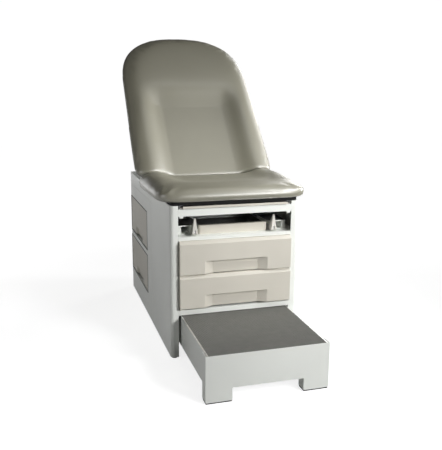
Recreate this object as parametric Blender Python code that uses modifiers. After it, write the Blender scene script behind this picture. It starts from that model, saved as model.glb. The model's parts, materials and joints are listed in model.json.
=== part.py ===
"""Medical exam table with a pull-out step, drawers, stirrups and a raised back section.

Metres, +Z up. The front of the table faces -Y, and the origin is on the floor under the
middle of the table with its step pulled out. Each moving piece hangs on an empty that
stands on its joint.
"""

import math

import bmesh
import bpy
from mathutils import Matrix, Vector

# Clearances
FIT = 0.0003
RUNNING = 0.0015
REVEAL = 0.003

# Cabinet casing
BASE_WIDTH = 0.610
BASE_DEPTH = 1.120
PANEL_RETURN = 0.037
CORNER_RADIUS = 0.018
SKIN = 0.003
SHEET = 0.002
REAR_RIM = 0.022
GLIDE_HEIGHT = 0.006
GLIDE_RADIUS = 0.014
GLIDE_INSET = 0.020
SWAGE_WIDTH = 0.003
SWAGE_DEPTH = 0.0012
SWAGE_RADIUS = 0.040
SWAGE_SETBACK = 0.455
SWAGE_DROP = 0.064

# Front of the cabinet, from the floor up
STEP_BAY_HEIGHT = 0.208
SILL_HEIGHT = 0.024
SILL_TO_DRAWER = 0.010
DRAWER_HEIGHT = 0.155
DRAWER_GAP = 0.004
DRAWER_TO_SHELF = 0.001
SHELF_LIP = 0.016
RECESS_HEIGHT = 0.095
RAIL_HEIGHT = 0.032
RAIL_DEPTH = 0.030
RAIL_TAB_DROP = 0.008
RAIL_TAB_WIDTH = 0.016
EXTENSION_SLOT = 0.016
FRONT_BAY_DEPTH = 0.560

# Front drawers
FRONT_PROUD = 0.020
FRONT_THICKNESS = 0.028
FRONT_SIDE_GAP = 0.003
BEVEL_HEIGHT = 0.014
BEVEL_DEPTH = 0.012
GRIP_HEIGHT = 0.060
GRIP_WIDTH = 0.308
GRIP_INNER_WIDTH = 0.216
GRIP_DEPTH = 0.022
GRIP_UNDERCUT = 0.010
RUNNER_SPACE = 0.030
DRAWER_BOX_END_GAP = 0.0417
DRAWER_BOX_HEIGHT = 0.110
BOX_WALL = 0.0025
RUNNER_HEIGHT = 0.040
RUNNER_LIP = 0.022

# Side drawers, which open to both sides
SIDE_BAY_FLOOR = 0.133
SIDE_DRAWER_HEIGHT = 0.198
SIDE_DRAWER_STRIP = 0.034
SIDE_BAY_MARGIN = 0.020
SIDE_FRONT_THICKNESS = 0.018
SIDE_FRONT_RECESS = 0.0015
SIDE_BOX_HEIGHT = 0.160
SIDE_GRIP_WIDTH = 0.220
SIDE_GRIP_HEIGHT = 0.045
SIDE_GRIP_DEPTH = 0.012
REAR_DECK_LIFT = 0.030
REAR_DECK_FLANGE = 0.030

# Step, pulled out as in use
STEP_TRAVEL = 0.452
STEP_PROUD = 0.003
STEP_END_GAP = 0.015
STEP_HEIGHT = 0.2045
STEP_SIDE_GAP = 0.002
STEP_BODY_INSET = 0.009
STEP_LEG_WIDTH = 0.112
STEP_LEG_CUT = 0.060
STEP_APRON_DEPTH = 0.051
STEP_FOOT_HEIGHT = 0.006
TREAD_THICKNESS = 0.0028
TREAD_RIB_PITCH = 0.0063
TREAD_RIB_DEPTH = 0.0012
TRIM_WIDTH = 0.006
SHOE_HEIGHT = 0.026
SHOE_LENGTH = 0.045
GUIDE_LEVEL = 0.150

# Foot extension
EXTENSION_SIDE_SPACE = 0.022
EXTENSION_LENGTH = 0.455
EXTENSION_LIP = 0.0102
EXTENSION_PAD_THICKNESS = 0.0076

# Stirrups and treatment pan
STIRRUP_OFFSET = 0.188
ARM_SIZE = 0.016
ARM_WALL = 0.0018
ARM_LENGTH = 0.466
HOUSING_SETBACK = 0.056
HOUSING_LENGTH = 0.144
HOUSING_HEIGHT = 0.041
HOUSING_OUTER = 0.262
WINDOW_INNER = 0.202
WINDOW_OUTER = 0.242
HEEL_PIVOT_SETBACK = 0.024
HEEL_PIVOT_LIFT = 0.015
HEEL_WIDTH = 0.028
HEEL_DEPTH = 0.038
HEEL_HEIGHT = 0.074
HEEL_TIP_SCALE = 0.22
PIN_RADIUS = 0.003
PAN_FRONT_WIDTH = 0.330
PAN_FRONT_HEIGHT = 0.040
PAN_SETBACK = 0.040
PAN_FRONT_THICKNESS = 0.017
PAN_LENGTH = 0.285
PAN_WIDTH = 0.306
PAN_DEPTH = 0.036

# Seat and back
BOARD_THICKNESS = 0.0127
BOARD_INSET = 0.005
SEAT_FRONT_WIDTH = 0.706
PAD_JOINT_WIDTH = 0.734
HEAD_WIDTH = 0.698
CUSHION_THICKNESS = 0.075
PAD_CUTS = (19, 21, 5)
RIM_TURN = math.radians(65)
SIDE_ROUNDING = 7.5
BAND_ROUNDING = 40
BAND_SHARE = 0.40
SEAT_OVERHANG = 0.012
SEAT_LENGTH = 0.496
SEAT_FRONT_CORNERS = 7
SEAT_FRONT_ROUNDING = 6.2
SEAT_REAR_CORNERS = 14
SEAT_REAR_ROUNDING = 13.5
SEAT_DISH = 0.021
HINGE_SETBACK = 0.500
HINGE_LIFT = 0.046
REST_ANGLE = 47
HEAD_OVERHANG = 0.0672
BACK_START = 0.016
BACK_LENGTH = 0.970
BACK_ROUND = 0.346
BACK_FOOT_CORNERS = 20
BACK_FOOT_ROUNDING = 35
HEAD_CORNERS = 2.58
HEAD_ROUNDING = 8
BACK_DISH = 0.030
BACK_BOARD_INSET = 0.050
HINGE_OFFSET = 0.235
HINGE_PLATE = 0.005
HINGE_EYE = 0.013
HINGE_PIN_RADIUS = 0.005
HINGE_RAIL_DEPTH = 0.040
HINGE_RAIL_HEIGHT = 0.027
FRAME_RAIL_WIDTH = 0.015
FRAME_RAIL_HEIGHT = 0.024
CROSS_MEMBER_HEIGHT = 0.016
FRAME_OFFSET = 0.220
FRAME_START = 0.046
FRAME_LENGTH = 0.590
CROSS_MEMBER_WIDTH = 0.024
SPRING_FOOT_SETBACK = 0.020
SPRING_FOOT_DROP = 0.090
SPRING_HEAD_REACH = 0.200
SPRING_HEAD_DROP = 0.110
CYLINDER_RADIUS = 0.011
CYLINDER_LENGTH = 0.152
ROD_RADIUS = 0.004
ROD_START = 0.096
EYE_RADIUS = 0.009
EYE_WIDTH = 0.010
HANDLE_REACH = 0.135
HANDLE_WIDTH = 0.180
HANDLE_RADIUS = 0.005
HANDLE_PIVOT = 0.655

# Levels and planes worked out from the sizes above
FRONT_Y = -(BASE_DEPTH + HEAD_OVERHANG - STEP_TRAVEL - STEP_PROUD) / 2
SILL_TOP = STEP_BAY_HEIGHT + SILL_HEIGHT
LOWER_DRAWER_Z = SILL_TOP + SILL_TO_DRAWER
UPPER_DRAWER_Z = LOWER_DRAWER_Z + DRAWER_HEIGHT + DRAWER_GAP
SHELF_Z = UPPER_DRAWER_Z + DRAWER_HEIGHT + DRAWER_TO_SHELF
DECK_Z = SHELF_Z + SHELF_LIP
RAIL_Z = DECK_Z + RECESS_HEIGHT
RAIL_TOP = RAIL_Z + RAIL_HEIGHT
BASE_HEIGHT = RAIL_TOP + EXTENSION_SLOT
INNER = BASE_WIDTH / 2 - PANEL_RETURN
HOLLOW = BASE_WIDTH / 2 - SKIN - FIT
DRAWER_BOX_WIDTH = 2 * (INNER - RUNNER_SPACE)
DRAWER_BOX_START = FRONT_THICKNESS - FRONT_PROUD + FIT
DRAWER_BOX_LENGTH = FRONT_BAY_DEPTH - DRAWER_BOX_START - DRAWER_BOX_END_GAP
STEP_FRONT_WIDTH = 2 * (INNER - STEP_SIDE_GAP)
STEP_BODY_WIDTH = STEP_FRONT_WIDTH - 2 * STEP_BODY_INSET
STEP_LENGTH = FRONT_BAY_DEPTH - STEP_END_GAP
EXTENSION_WIDTH = 2 * (INNER - EXTENSION_SIDE_SPACE)
BOARD_WIDTH = BASE_WIDTH - 2 * BOARD_INSET
SIDE_DRAWER_SETBACK = FRONT_BAY_DEPTH + SIDE_BAY_MARGIN
SIDE_OPENING_END = BASE_DEPTH - SIDE_BAY_MARGIN
SIDE_DRAWER_WIDTH = SIDE_OPENING_END - SIDE_DRAWER_SETBACK - 2 * REVEAL
LOWER_SIDE_Z = SIDE_BAY_FLOOR
UPPER_SIDE_Z = LOWER_SIDE_Z + SIDE_DRAWER_HEIGHT + 2 * REVEAL + SIDE_DRAWER_STRIP
REAR_DECK_Z = UPPER_SIDE_Z + SIDE_DRAWER_HEIGHT + 2 * REVEAL + REAR_DECK_LIFT
BOARD_Z = BASE_HEIGHT + FIT
CUSHION_Z = BOARD_Z + BOARD_THICKNESS + FIT
HINGE_Z = BASE_HEIGHT + HINGE_LIFT
TRAY_Z = RAIL_TOP + 0.0023
LEFT, RIGHT = -1, 1
SIDE_NAMES = {LEFT: "left", RIGHT: "right"}


# Scene, materials and the empties that carry the pieces


def clear_scene():
    for item in list(bpy.data.objects):
        bpy.data.objects.remove(item, do_unlink=True)


def new_collection(name):
    collection = bpy.data.collections.new(name)
    bpy.context.scene.collection.children.link(collection)
    return collection


clear_scene()
TABLE = new_collection("medical_exam_table")
CUTTERS = new_collection("cutters")
CUTTERS.hide_render = True


def material(name, color, roughness, metallic=0.0):
    made = bpy.data.materials.new(name)
    made.use_nodes = True
    shader = made.node_tree.nodes["Principled BSDF"]
    shader.inputs["Base Color"].default_value = (*color, 1.0)
    shader.inputs["Roughness"].default_value = roughness
    shader.inputs["Metallic"].default_value = metallic
    made.diffuse_color = (*color, 1.0)
    return made


WHITE_PAINT = material("white_paint", (0.76, 0.77, 0.73), 0.35)
BEIGE_MOULDING = material("beige_moulding", (0.62, 0.59, 0.51), 0.42)
VINYL = material("taupe_vinyl", (0.36, 0.33, 0.26), 0.38)
BLACK_BOARD = material("black_board", (0.018, 0.018, 0.018), 0.55)
STEEL = material("zinc_steel", (0.55, 0.56, 0.57), 0.30, 1.0)
STAINLESS = material("stainless", (0.66, 0.67, 0.68), 0.22, 1.0)
ALUMINIUM = material("aluminium_trim", (0.80, 0.80, 0.78), 0.30, 1.0)
RUBBER = material("dark_rubber", (0.035, 0.035, 0.035), 0.80)
TREAD_RUBBER = material("tread_rubber", (0.13, 0.13, 0.12), 0.75)


def carrier(name, place, parent=None, tilt=0.0):
    """An empty on a joint, tilted about X."""
    empty = bpy.data.objects.new(name, None)
    empty.empty_display_size = 0.05
    empty.location = place
    empty.rotation_euler.x = tilt
    empty.parent = parent
    TABLE.objects.link(empty)
    return empty


# Modelling helpers. Shapes are given in the frame of the empty that carries them.


def add_object(name, mesh, parent, finish):
    """Links a finished mesh to the table, or to the cutters where finish is None."""
    obj = bpy.data.objects.new(name, mesh)
    obj.parent = parent
    if finish is None:
        obj.display_type = "WIRE"
        obj.hide_render = True
        CUTTERS.objects.link(obj)
    else:
        mesh.materials.append(finish)
        TABLE.objects.link(obj)
    return obj


def mesh_from(bm, name):
    bmesh.ops.recalc_face_normals(bm, faces=bm.faces)
    mesh = bpy.data.meshes.new(name)
    bm.to_mesh(mesh)
    bm.free()
    return mesh


def cube_between(low, high):
    bm = bmesh.new()
    bmesh.ops.create_cube(bm, size=1.0)
    middle = [(a + b) / 2 for a, b in zip(low, high)]
    sides = [abs(b - a) for a, b in zip(low, high)]
    bmesh.ops.scale(bm, vec=sides, verts=bm.verts)
    bmesh.ops.translate(bm, vec=middle, verts=bm.verts)
    return bm


def round_edges(bm, chosen, radius, segments):
    bmesh.ops.bevel(
        bm, geom=chosen, offset=radius, segments=segments, profile=0.5, affect="EDGES"
    )


def box(name, low, high, parent, finish, radius=0.0, segments=1):
    bm = cube_between(low, high)
    if radius:
        round_edges(bm, bm.edges[:], radius, segments)
    return add_object(name, mesh_from(bm, name), parent, finish)


def faces_along(bm, direction):
    return [face for face in bm.faces if face.normal.dot(Vector(direction)) > 0.9]


def edges_along(bm, axis):
    """Edges that run along one axis, 0 to 2."""
    found = []
    for edge in bm.edges:
        span = edge.verts[0].co - edge.verts[1].co
        if abs(span[axis]) > 0.99 * span.length:
            found.append(edge)
    return found


def corner_points(corner, before, after, radius, steps=5):
    """The arc that rounds a corner between its two neighbours."""
    corner, before, after = Vector(corner), Vector(before), Vector(after)
    to_before = (before - corner).normalized()
    to_after = (after - corner).normalized()
    half = to_before.angle(to_after) / 2
    centre = corner + (to_before + to_after).normalized() * radius / math.sin(half)
    start = corner + to_before * radius / math.tan(half)
    turn = (math.pi - 2 * half) / steps
    if to_before.cross(to_after) > 0:
        turn = -turn
    arm = start - centre
    return [centre + Matrix.Rotation(turn * i, 2) @ arm for i in range(steps + 1)]


def rounded_loop(points, radii):
    """A closed outline whose corners are rounded: one radius, or one for each point."""
    if not isinstance(radii, (list, tuple)):
        radii = [radii] * len(points)
    loop = []
    for i, (point, radius) in enumerate(zip(points, radii)):
        if radius:
            after = points[(i + 1) % len(points)]
            loop += corner_points(point, points[i - 1], after, radius)
        else:
            loop.append(Vector(point))
    return loop


def rectangle(low, high, radius=0.0):
    corners = [low, (high[0], low[1]), high, (low[0], high[1])]
    return rounded_loop(corners, radius)


def circle(centre, radius, steps=24):
    turns = [2 * math.pi * i / steps for i in range(steps)]
    return [
        Vector((centre[0] + radius * math.cos(t), centre[1] + radius * math.sin(t)))
        for t in turns
    ]


# Columns of the matrices: where an outline's own X, Y and its thickness point.
OUTLINE_AXES = {
    "X": Matrix(((0, 0, 1), (1, 0, 0), (0, 1, 0))),
    "Y": Matrix(((1, 0, 0), (0, 0, -1), (0, 1, 0))),
    "Z": Matrix.Identity(3),
}


def plate(name, loops, axis, low, high, parent, finish):
    """A flat outline with its holes, extruded along an axis from low to high."""
    curve = bpy.data.curves.new(name, "CURVE")
    curve.dimensions = "2D"
    curve.fill_mode = "BOTH"
    curve.extrude = (high - low) / 2
    for loop in loops:
        spline = curve.splines.new("POLY")
        spline.points.add(len(loop) - 1)
        for point, (across, along) in zip(spline.points, loop):
            point.co = (across, along, 0.0, 1.0)
        spline.use_cyclic_u = True
    guide = bpy.data.objects.new(name + "_outline", curve)
    bpy.context.scene.collection.objects.link(guide)
    graph = bpy.context.evaluated_depsgraph_get()
    mesh = bpy.data.meshes.new_from_object(guide.evaluated_get(graph))
    bpy.data.objects.remove(guide, do_unlink=True)
    bm = bmesh.new()
    bm.from_mesh(mesh)
    bmesh.ops.remove_doubles(bm, verts=bm.verts, dist=1e-6)
    bmesh.ops.transform(bm, matrix=OUTLINE_AXES[axis].to_4x4(), verts=bm.verts)
    shift = Vector((0, 0, 0))
    shift["XYZ".index(axis)] = (low + high) / 2
    bmesh.ops.translate(bm, vec=shift, verts=bm.verts)
    return add_object(name, mesh_from(bm, name), parent, finish)


def solidify(obj, thickness, offset=0.0):
    wall = obj.modifiers.new("Wall", "SOLIDIFY")
    wall.thickness = thickness
    wall.offset = offset
    wall.use_even_offset = True
    return obj


def folded(name, profile, axis, low, high, thickness, parent, finish):
    """A folded sheet: the middle line of its section, drawn along X or Y."""
    bm = bmesh.new()
    points = []
    for first, second in profile:
        place = (low, first, second) if axis == "X" else (first, low, second)
        points.append(bm.verts.new(place))
    edges = [bm.edges.new(pair) for pair in zip(points, points[1:])]
    drawn = bmesh.ops.extrude_edge_only(bm, edges=edges)
    moved = [item for item in drawn["geom"] if isinstance(item, bmesh.types.BMVert)]
    length = high - low
    step = (length, 0, 0) if axis == "X" else (0, length, 0)
    bmesh.ops.translate(bm, vec=step, verts=moved)
    return solidify(add_object(name, mesh_from(bm, name), parent, finish), thickness)


def pressed_panel(name, outline, depth, thickness, parent, finish, open_top=False):
    """A pressed sheet: a flat front in X and Z, with its rim folded back along Y."""
    bm = bmesh.new()
    face = bm.faces.new([bm.verts.new((x, 0.0, z)) for x, z in outline])
    top = max(z for _, z in outline)
    rim = [
        edge
        for edge in face.edges
        if not open_top or min(v.co.z for v in edge.verts) < top - 1e-6
    ]
    drawn = bmesh.ops.extrude_edge_only(bm, edges=rim)
    moved = [item for item in drawn["geom"] if isinstance(item, bmesh.types.BMVert)]
    bmesh.ops.translate(bm, vec=(0, depth, 0), verts=moved)
    mesh = mesh_from(bm, name)
    if mesh.polygons[0].normal.y > 0:
        mesh.flip_normals()
    return solidify(add_object(name, mesh, parent, finish), thickness, -1.0)


def open_box(name, low, high, wall, radius, parent, finish):
    """A drawn box, open at the top, with rounded corners."""
    bm = cube_between(low, high)
    bmesh.ops.delete(bm, geom=faces_along(bm, (0, 0, 1)), context="FACES_ONLY")
    floor = [e for e in bm.edges if max(v.co.z for v in e.verts) < low[2] + 1e-6]
    round_edges(bm, edges_along(bm, 2) + floor, radius, 3)
    mesh = mesh_from(bm, name)
    lowest = min(mesh.polygons, key=lambda polygon: polygon.center.z)
    if lowest.normal.z > 0:
        mesh.flip_normals()
    return solidify(add_object(name, mesh, parent, finish), wall, -1.0)


def rod(name, start, end, radius, parent, finish, sides=24):
    """A cylinder between two points."""
    start, end = Vector(start), Vector(end)
    bm = bmesh.new()
    bmesh.ops.create_cone(
        bm,
        cap_ends=True,
        segments=sides,
        radius1=radius,
        radius2=radius,
        depth=(end - start).length,
    )
    turn = (end - start).to_track_quat("Z", "Y").to_matrix().to_4x4()
    place = Matrix.Translation((start + end) / 2) @ turn
    bmesh.ops.transform(bm, matrix=place, verts=bm.verts)
    return add_object(name, mesh_from(bm, name), parent, finish)


def boolean(target, other, operation):
    step = target.modifiers.new(operation.title(), "BOOLEAN")
    step.operation = operation
    step.solver = "EXACT"
    step.object = other
    return target


def cut(target, *cutters):
    for cutter in cutters:
        boolean(target, cutter, "DIFFERENCE")
    return target


def weld(target, *pieces):
    """Joins helper solids, made with no finish, to a piece."""
    for piece in pieces:
        boolean(target, piece, "UNION")
    return target


def superellipse(turn, half_width, half_length, power):
    across = abs(math.cos(turn)) ** (2 / power) * math.copysign(1, math.cos(turn))
    along = abs(math.sin(turn)) ** (2 / power) * math.copysign(1, math.sin(turn))
    return half_width * across, half_length * along


def smooth_step(value, low, high):
    share = min(max((value - low) / (high - low), 0.0), 1.0)
    return share * share * (3 - 2 * share)


def pad_plan(u, v, widths, ends):
    """Carries a point of a square sheet to a pad's plan, whose corners are rounded."""
    length, corners, _ = ends[v > 0]
    spread = (abs(u) ** corners + abs(v) ** corners) ** (1 / corners)
    pull = max(abs(u), abs(v)) / spread if spread else 0.0
    y = v * length * pull
    share = (y + ends[0][0]) / (ends[0][0] + ends[1][0])
    return u * pull * (widths[0] + share * (widths[1] - widths[0])) / 2, y


def cushion(name, centre, widths, ends, thickness, relief, parent):
    """A pad with an upright band round its foot, a broad rounded shoulder and a dished top.

    It starts as a cube with its edges divided. The sides turn from -RIM_TURN at the foot
    to RIM_TURN at the shoulder: cos(turn) to a small power draws each level in, and the
    top sheet takes its height from the same curve, so that it meets the shoulder.
    """
    bm = cube_between((-1, -1, -1), (1, 1, 1))
    for axis, cuts in enumerate(PAD_CUTS):
        bmesh.ops.subdivide_edges(bm, edges=edges_along(bm, axis), cuts=cuts)
    for vert in bm.verts:
        u, v, w = vert.co
        turn = w * RIM_TURN
        across, along = (SIDE_ROUNDING, ends[v > 0][2]) if w > 0 else (BAND_ROUNDING,) * 2
        ring = Vector((math.cos(turn) ** (2 / across), math.cos(turn) ** (2 / along)))
        height = math.sin(turn)
        if w > 0.999:
            fall = abs(u * ring.x) ** (4 * across) + abs(v * ring.y) ** (4 * along)
            height = max(1 - fall**0.25, 0.0) ** 0.5
        x, y = pad_plan(u * ring.x, v * ring.y, widths, ends)
        share = BAND_SHARE * (1 + height / math.sin(RIM_TURN))
        if w > 0:
            share = BAND_SHARE + (1 - BAND_SHARE) * height
        z = thickness * share - relief(x, y) * max(height, 0.0)
        vert.co = Vector(centre) + Vector((x, y, z))
    flat = [face for face in bm.faces if max(v.co.z for v in face.verts) < centre[2] + 1e-6]
    edges = {edge for face in flat for edge in face.edges}
    verts = {vert for face in flat for vert in face.verts}
    bmesh.ops.dissolve_limit(bm, angle_limit=0.001, verts=list(verts), edges=list(edges))
    return add_object(name, mesh_from(bm, name), parent, VINYL)


# Cabinet

CABINET = carrier("cabinet", (0.0, FRONT_Y, 0.0))


def side_panel(side):
    """A casing pressed from sheet, open towards the inside, with two drawer openings."""
    name = "side_panel_" + SIDE_NAMES[side]
    outer = side * BASE_WIDTH / 2
    bm = cube_between((side * INNER, 0, GLIDE_HEIGHT), (outer, BASE_DEPTH, BASE_HEIGHT))
    bmesh.ops.delete(bm, geom=faces_along(bm, (-side, 0, 0)), context="FACES_ONLY")
    uprights = [e for e in edges_along(bm, 2) if abs(e.verts[0].co.x - outer) < 1e-6]
    round_edges(bm, uprights, CORNER_RADIUS, 6)
    mesh = mesh_from(bm, name)
    outermost = max(mesh.polygons, key=lambda polygon: side * polygon.center.x)
    if outermost.normal.x * side < 0:
        mesh.flip_normals()
    panel = solidify(add_object(name, mesh, CABINET, WHITE_PAINT), SKIN, -1.0)
    through = sorted((outer + side * SKIN, outer - side * 3 * SKIN))
    for level, start in (("lower", LOWER_SIDE_Z), ("upper", UPPER_SIDE_Z)):
        top = start + SIDE_DRAWER_HEIGHT + 2 * REVEAL
        opening = rectangle((SIDE_DRAWER_SETBACK, start), (SIDE_OPENING_END, top), 0.007)
        cutter = plate(f"{name}_{level}_opening", [opening], "X", *through, CABINET, None)
        cut(panel, cutter)
    return cut(panel, swage_line(side, name))


def swage_line(side, name):
    """A groove pressed round the drawer section: up from the floor, then to the rear."""
    top = BASE_HEIGHT - SWAGE_DROP
    past = 0.05
    corners = [
        (SWAGE_SETBACK, -past),
        (BASE_DEPTH + past, -past),
        (BASE_DEPTH + past, top),
        (SWAGE_SETBACK, top),
    ]
    inner = [
        (SWAGE_SETBACK + SWAGE_WIDTH, -past + SWAGE_WIDTH),
        (BASE_DEPTH + past - SWAGE_WIDTH, -past + SWAGE_WIDTH),
        (BASE_DEPTH + past - SWAGE_WIDTH, top - SWAGE_WIDTH),
        (SWAGE_SETBACK + SWAGE_WIDTH, top - SWAGE_WIDTH),
    ]
    loops = [
        rounded_loop(corners, [0, 0, 0, SWAGE_RADIUS]),
        rounded_loop(inner, [0, 0, 0, SWAGE_RADIUS - SWAGE_WIDTH]),
    ]
    outer = side * BASE_WIDTH / 2
    low, high = sorted((outer + side * 0.01, outer - side * SWAGE_DEPTH))
    return plate(name + "_swage", loops, "X", low, high, CABINET, None)


def glide(side, end_name, setback):
    name = f"glide_{end_name}_{SIDE_NAMES[side]}"
    x = side * (BASE_WIDTH / 2 - GLIDE_INSET)
    top = GLIDE_HEIGHT - FIT
    return rod(name, (x, setback, 0), (x, setback, top), GLIDE_RADIUS, CABINET, RUBBER, 16)


def rear_panel():
    width = 2 * (INNER - FIT)
    outline = rectangle((-width / 2, GLIDE_HEIGHT), (width / 2, BASE_HEIGHT))
    panel = pressed_panel("rear_panel", outline, REAR_RIM, SHEET, CABINET, WHITE_PAINT)
    turn = Matrix.Translation((0, BASE_DEPTH, 0)) @ Matrix.Rotation(math.pi, 4, "Z")
    panel.data.transform(turn)
    return panel


def front_top_rail():
    half = INNER - FIT
    middle = SHEET / 2
    profile = [
        (RAIL_DEPTH, RAIL_Z + middle),
        (middle, RAIL_Z + middle),
        (middle, RAIL_TOP - middle),
        (RAIL_DEPTH, RAIL_TOP - middle),
    ]
    rail = folded("front_top_rail", profile, "X", -half, half, SHEET, CABINET, WHITE_PAINT)
    for side in (LEFT, RIGHT):
        ends = sorted((side * (half - 0.006), side * (half - 0.006 - RAIL_TAB_WIDTH)))
        low = (ends[0], 0.0, RAIL_Z - RAIL_TAB_DROP)
        high = (ends[1], SHEET, RAIL_Z + SHEET)
        weld(rail, box(f"rail_tab_{SIDE_NAMES[side]}", low, high, CABINET, None))
    return rail


def deck(name, top, lip):
    """A sheet across the whole front bay, notched behind the casings, with a front lip."""
    back = CORNER_RADIUS
    end = FRONT_BAY_DEPTH - FIT
    half = INNER - FIT
    low = top - SHEET
    sheet = box(name, (-HOLLOW, back, low), (HOLLOW, end, top), CABINET, WHITE_PAINT)
    tongue_low = (-half, SHEET / 4, low)
    tongue = box(name + "_tongue", tongue_low, (half, back + 0.05, top), CABINET, None)
    lip_low = (-half + SHEET / 4, 0.0, top - lip)
    lip_high = (half - SHEET / 4, SHEET, top - SHEET / 2)
    return weld(sheet, tongue, box(name + "_lip", lip_low, lip_high, CABINET, None))


def stirrup_shelf():
    shelf = deck("stirrup_shelf", DECK_Z, SHELF_LIP)
    for side in (LEFT, RIGHT):
        inside = side * (PAN_WIDTH / 2 + RUNNING)
        ends = sorted((inside, inside + side * SHEET))
        low = (ends[0], PAN_SETBACK + 0.04, DECK_Z - SHEET / 2)
        high = (ends[1], FRONT_BAY_DEPTH - 0.05, DECK_Z + 0.012)
        weld(shelf, box(f"pan_rib_{SIDE_NAMES[side]}", low, high, CABINET, None))
    return shelf


def mid_bulkhead():
    """The wall between the front bay and the side drawers, notched for the gas spring."""
    top = BASE_HEIGHT - 0.028
    notch = 0.030
    notch_floor = top - 0.040
    corners = [
        (-HOLLOW, GLIDE_HEIGHT + SKIN + FIT),
        (HOLLOW, GLIDE_HEIGHT + SKIN + FIT),
        (HOLLOW, top),
        (notch, top),
        (notch, notch_floor),
        (-notch, notch_floor),
        (-notch, top),
        (-HOLLOW, top),
    ]
    radii = [0, 0, 0.01, 0.006, 0.01, 0.01, 0.006, 0.01]
    low, high = FRONT_BAY_DEPTH, FRONT_BAY_DEPTH + SHEET
    loop = rounded_loop(corners, radii)
    return plate("mid_bulkhead", [loop], "Y", low, high, CABINET, STEEL)


def side_bay_shelf(name, top):
    """A sheet with two raised strips that the side drawers slide on."""
    low_y = FRONT_BAY_DEPTH + SHEET + FIT
    high_y = BASE_DEPTH - REAR_RIM - FIT
    sheet_top = top - 0.0015
    low = (-HOLLOW, low_y, sheet_top - SHEET)
    high = (HOLLOW, high_y, sheet_top)
    shelf = box(name, low, high, CABINET, STEEL)
    for share in (0.15, 0.85):
        y = low_y + share * (high_y - low_y)
        strip_low = (-HOLLOW, y - 0.006, sheet_top - SHEET / 2)
        strip_high = (HOLLOW, y + 0.006, top)
        strip = box(f"{name}_strip_{share:.2f}", strip_low, strip_high, CABINET, None)
        weld(shelf, strip)
    return shelf


def rear_deck():
    """The tray behind the seat that the folded back frame and its gas spring lie in."""
    front = FRONT_BAY_DEPTH + SHEET + FIT + SHEET / 2
    back = BASE_DEPTH - REAR_RIM - FIT - SHEET / 2
    level = REAR_DECK_Z - SHEET / 2
    lift = level + REAR_DECK_FLANGE
    profile = [(front, lift), (front, level), (back, level), (back, lift)]
    return folded("rear_deck", profile, "X", -HOLLOW, HOLLOW, SHEET, CABINET, WHITE_PAINT)


def build_cabinet():
    for side in (LEFT, RIGHT):
        side_panel(side)
        glide(side, "front", GLIDE_INSET)
        glide(side, "rear", BASE_DEPTH - GLIDE_INSET)
    rear_panel()
    front_top_rail()
    stirrup_shelf()
    deck("drawer_sill", SILL_TOP, SILL_HEIGHT)
    mid_bulkhead()
    side_bay_shelf("side_bay_shelf_lower", LOWER_SIDE_Z)
    side_bay_shelf("side_bay_shelf_upper", UPPER_SIDE_Z)
    rear_deck()


# Front drawers


def grip_cutter(name, width, inner_width, height, depth, undercut, parent):
    """The scoop under a drawer's grip: it narrows and rises towards its back."""
    past = 0.002
    bm = cube_between((-width / 2, -past, -past), (width / 2, depth, height))
    for vert in bm.verts:
        if vert.co.y > depth / 2:
            vert.co.x *= inner_width / width
            if vert.co.z > height / 2:
                vert.co.z += undercut
    return add_object(name, mesh_from(bm, name), parent, None)


def drawer_front(name, parent):
    """A moulded front: a wide bevel along its top edge and a scooped grip below."""
    half = INNER - FRONT_SIDE_GAP
    corners = [
        (-FRONT_PROUD, 0.0),
        (FRONT_THICKNESS - FRONT_PROUD, 0.0),
        (FRONT_THICKNESS - FRONT_PROUD, DRAWER_HEIGHT),
        (BEVEL_DEPTH - FRONT_PROUD, DRAWER_HEIGHT),
        (-FRONT_PROUD, DRAWER_HEIGHT - BEVEL_HEIGHT),
    ]
    loop = rounded_loop(corners, [0.0025, 0, 0, 0.002, 0.002])
    front = plate(name, [loop], "X", -half, half, parent, BEIGE_MOULDING)
    sizes = (GRIP_WIDTH, GRIP_INNER_WIDTH, GRIP_HEIGHT, GRIP_DEPTH, GRIP_UNDERCUT)
    scoop = grip_cutter(name + "_grip", *sizes, parent)
    scoop.location.y = -FRONT_PROUD
    return cut(front, scoop)


def drawer(level, base):
    """A front on a drawn steel box with a slide member on each side."""
    body = carrier(f"drawer_{level}", (0, 0, base), CABINET)
    drawer_front(f"drawer_front_{level}", body)
    start = DRAWER_BOX_START
    half = DRAWER_BOX_WIDTH / 2
    floor = (DRAWER_HEIGHT - DRAWER_BOX_HEIGHT) / 2
    low = (-half, start, floor)
    high = (half, start + DRAWER_BOX_LENGTH, floor + DRAWER_BOX_HEIGHT)
    tub = open_box(f"drawer_box_{level}", low, high, BOX_WALL, 0.010, body, STEEL)
    middle = DRAWER_HEIGHT / 2
    reach = RUNNER_HEIGHT / 2 - SHEET - FIT
    for side in (LEFT, RIGHT):
        ends = sorted((side * (half - BOX_WALL / 2), side * (INNER - SHEET - RUNNING)))
        slide_low = (ends[0], start + 0.015, middle - reach)
        slide_high = (ends[1], start + DRAWER_BOX_LENGTH - 0.02, middle + reach - FIT)
        slide = box(f"slide_{level}_{SIDE_NAMES[side]}", slide_low, slide_high, body, None)
        weld(tub, slide)
        runner(f"drawer_runner_{level}_{SIDE_NAMES[side]}", side, base + middle)
    return body


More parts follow.
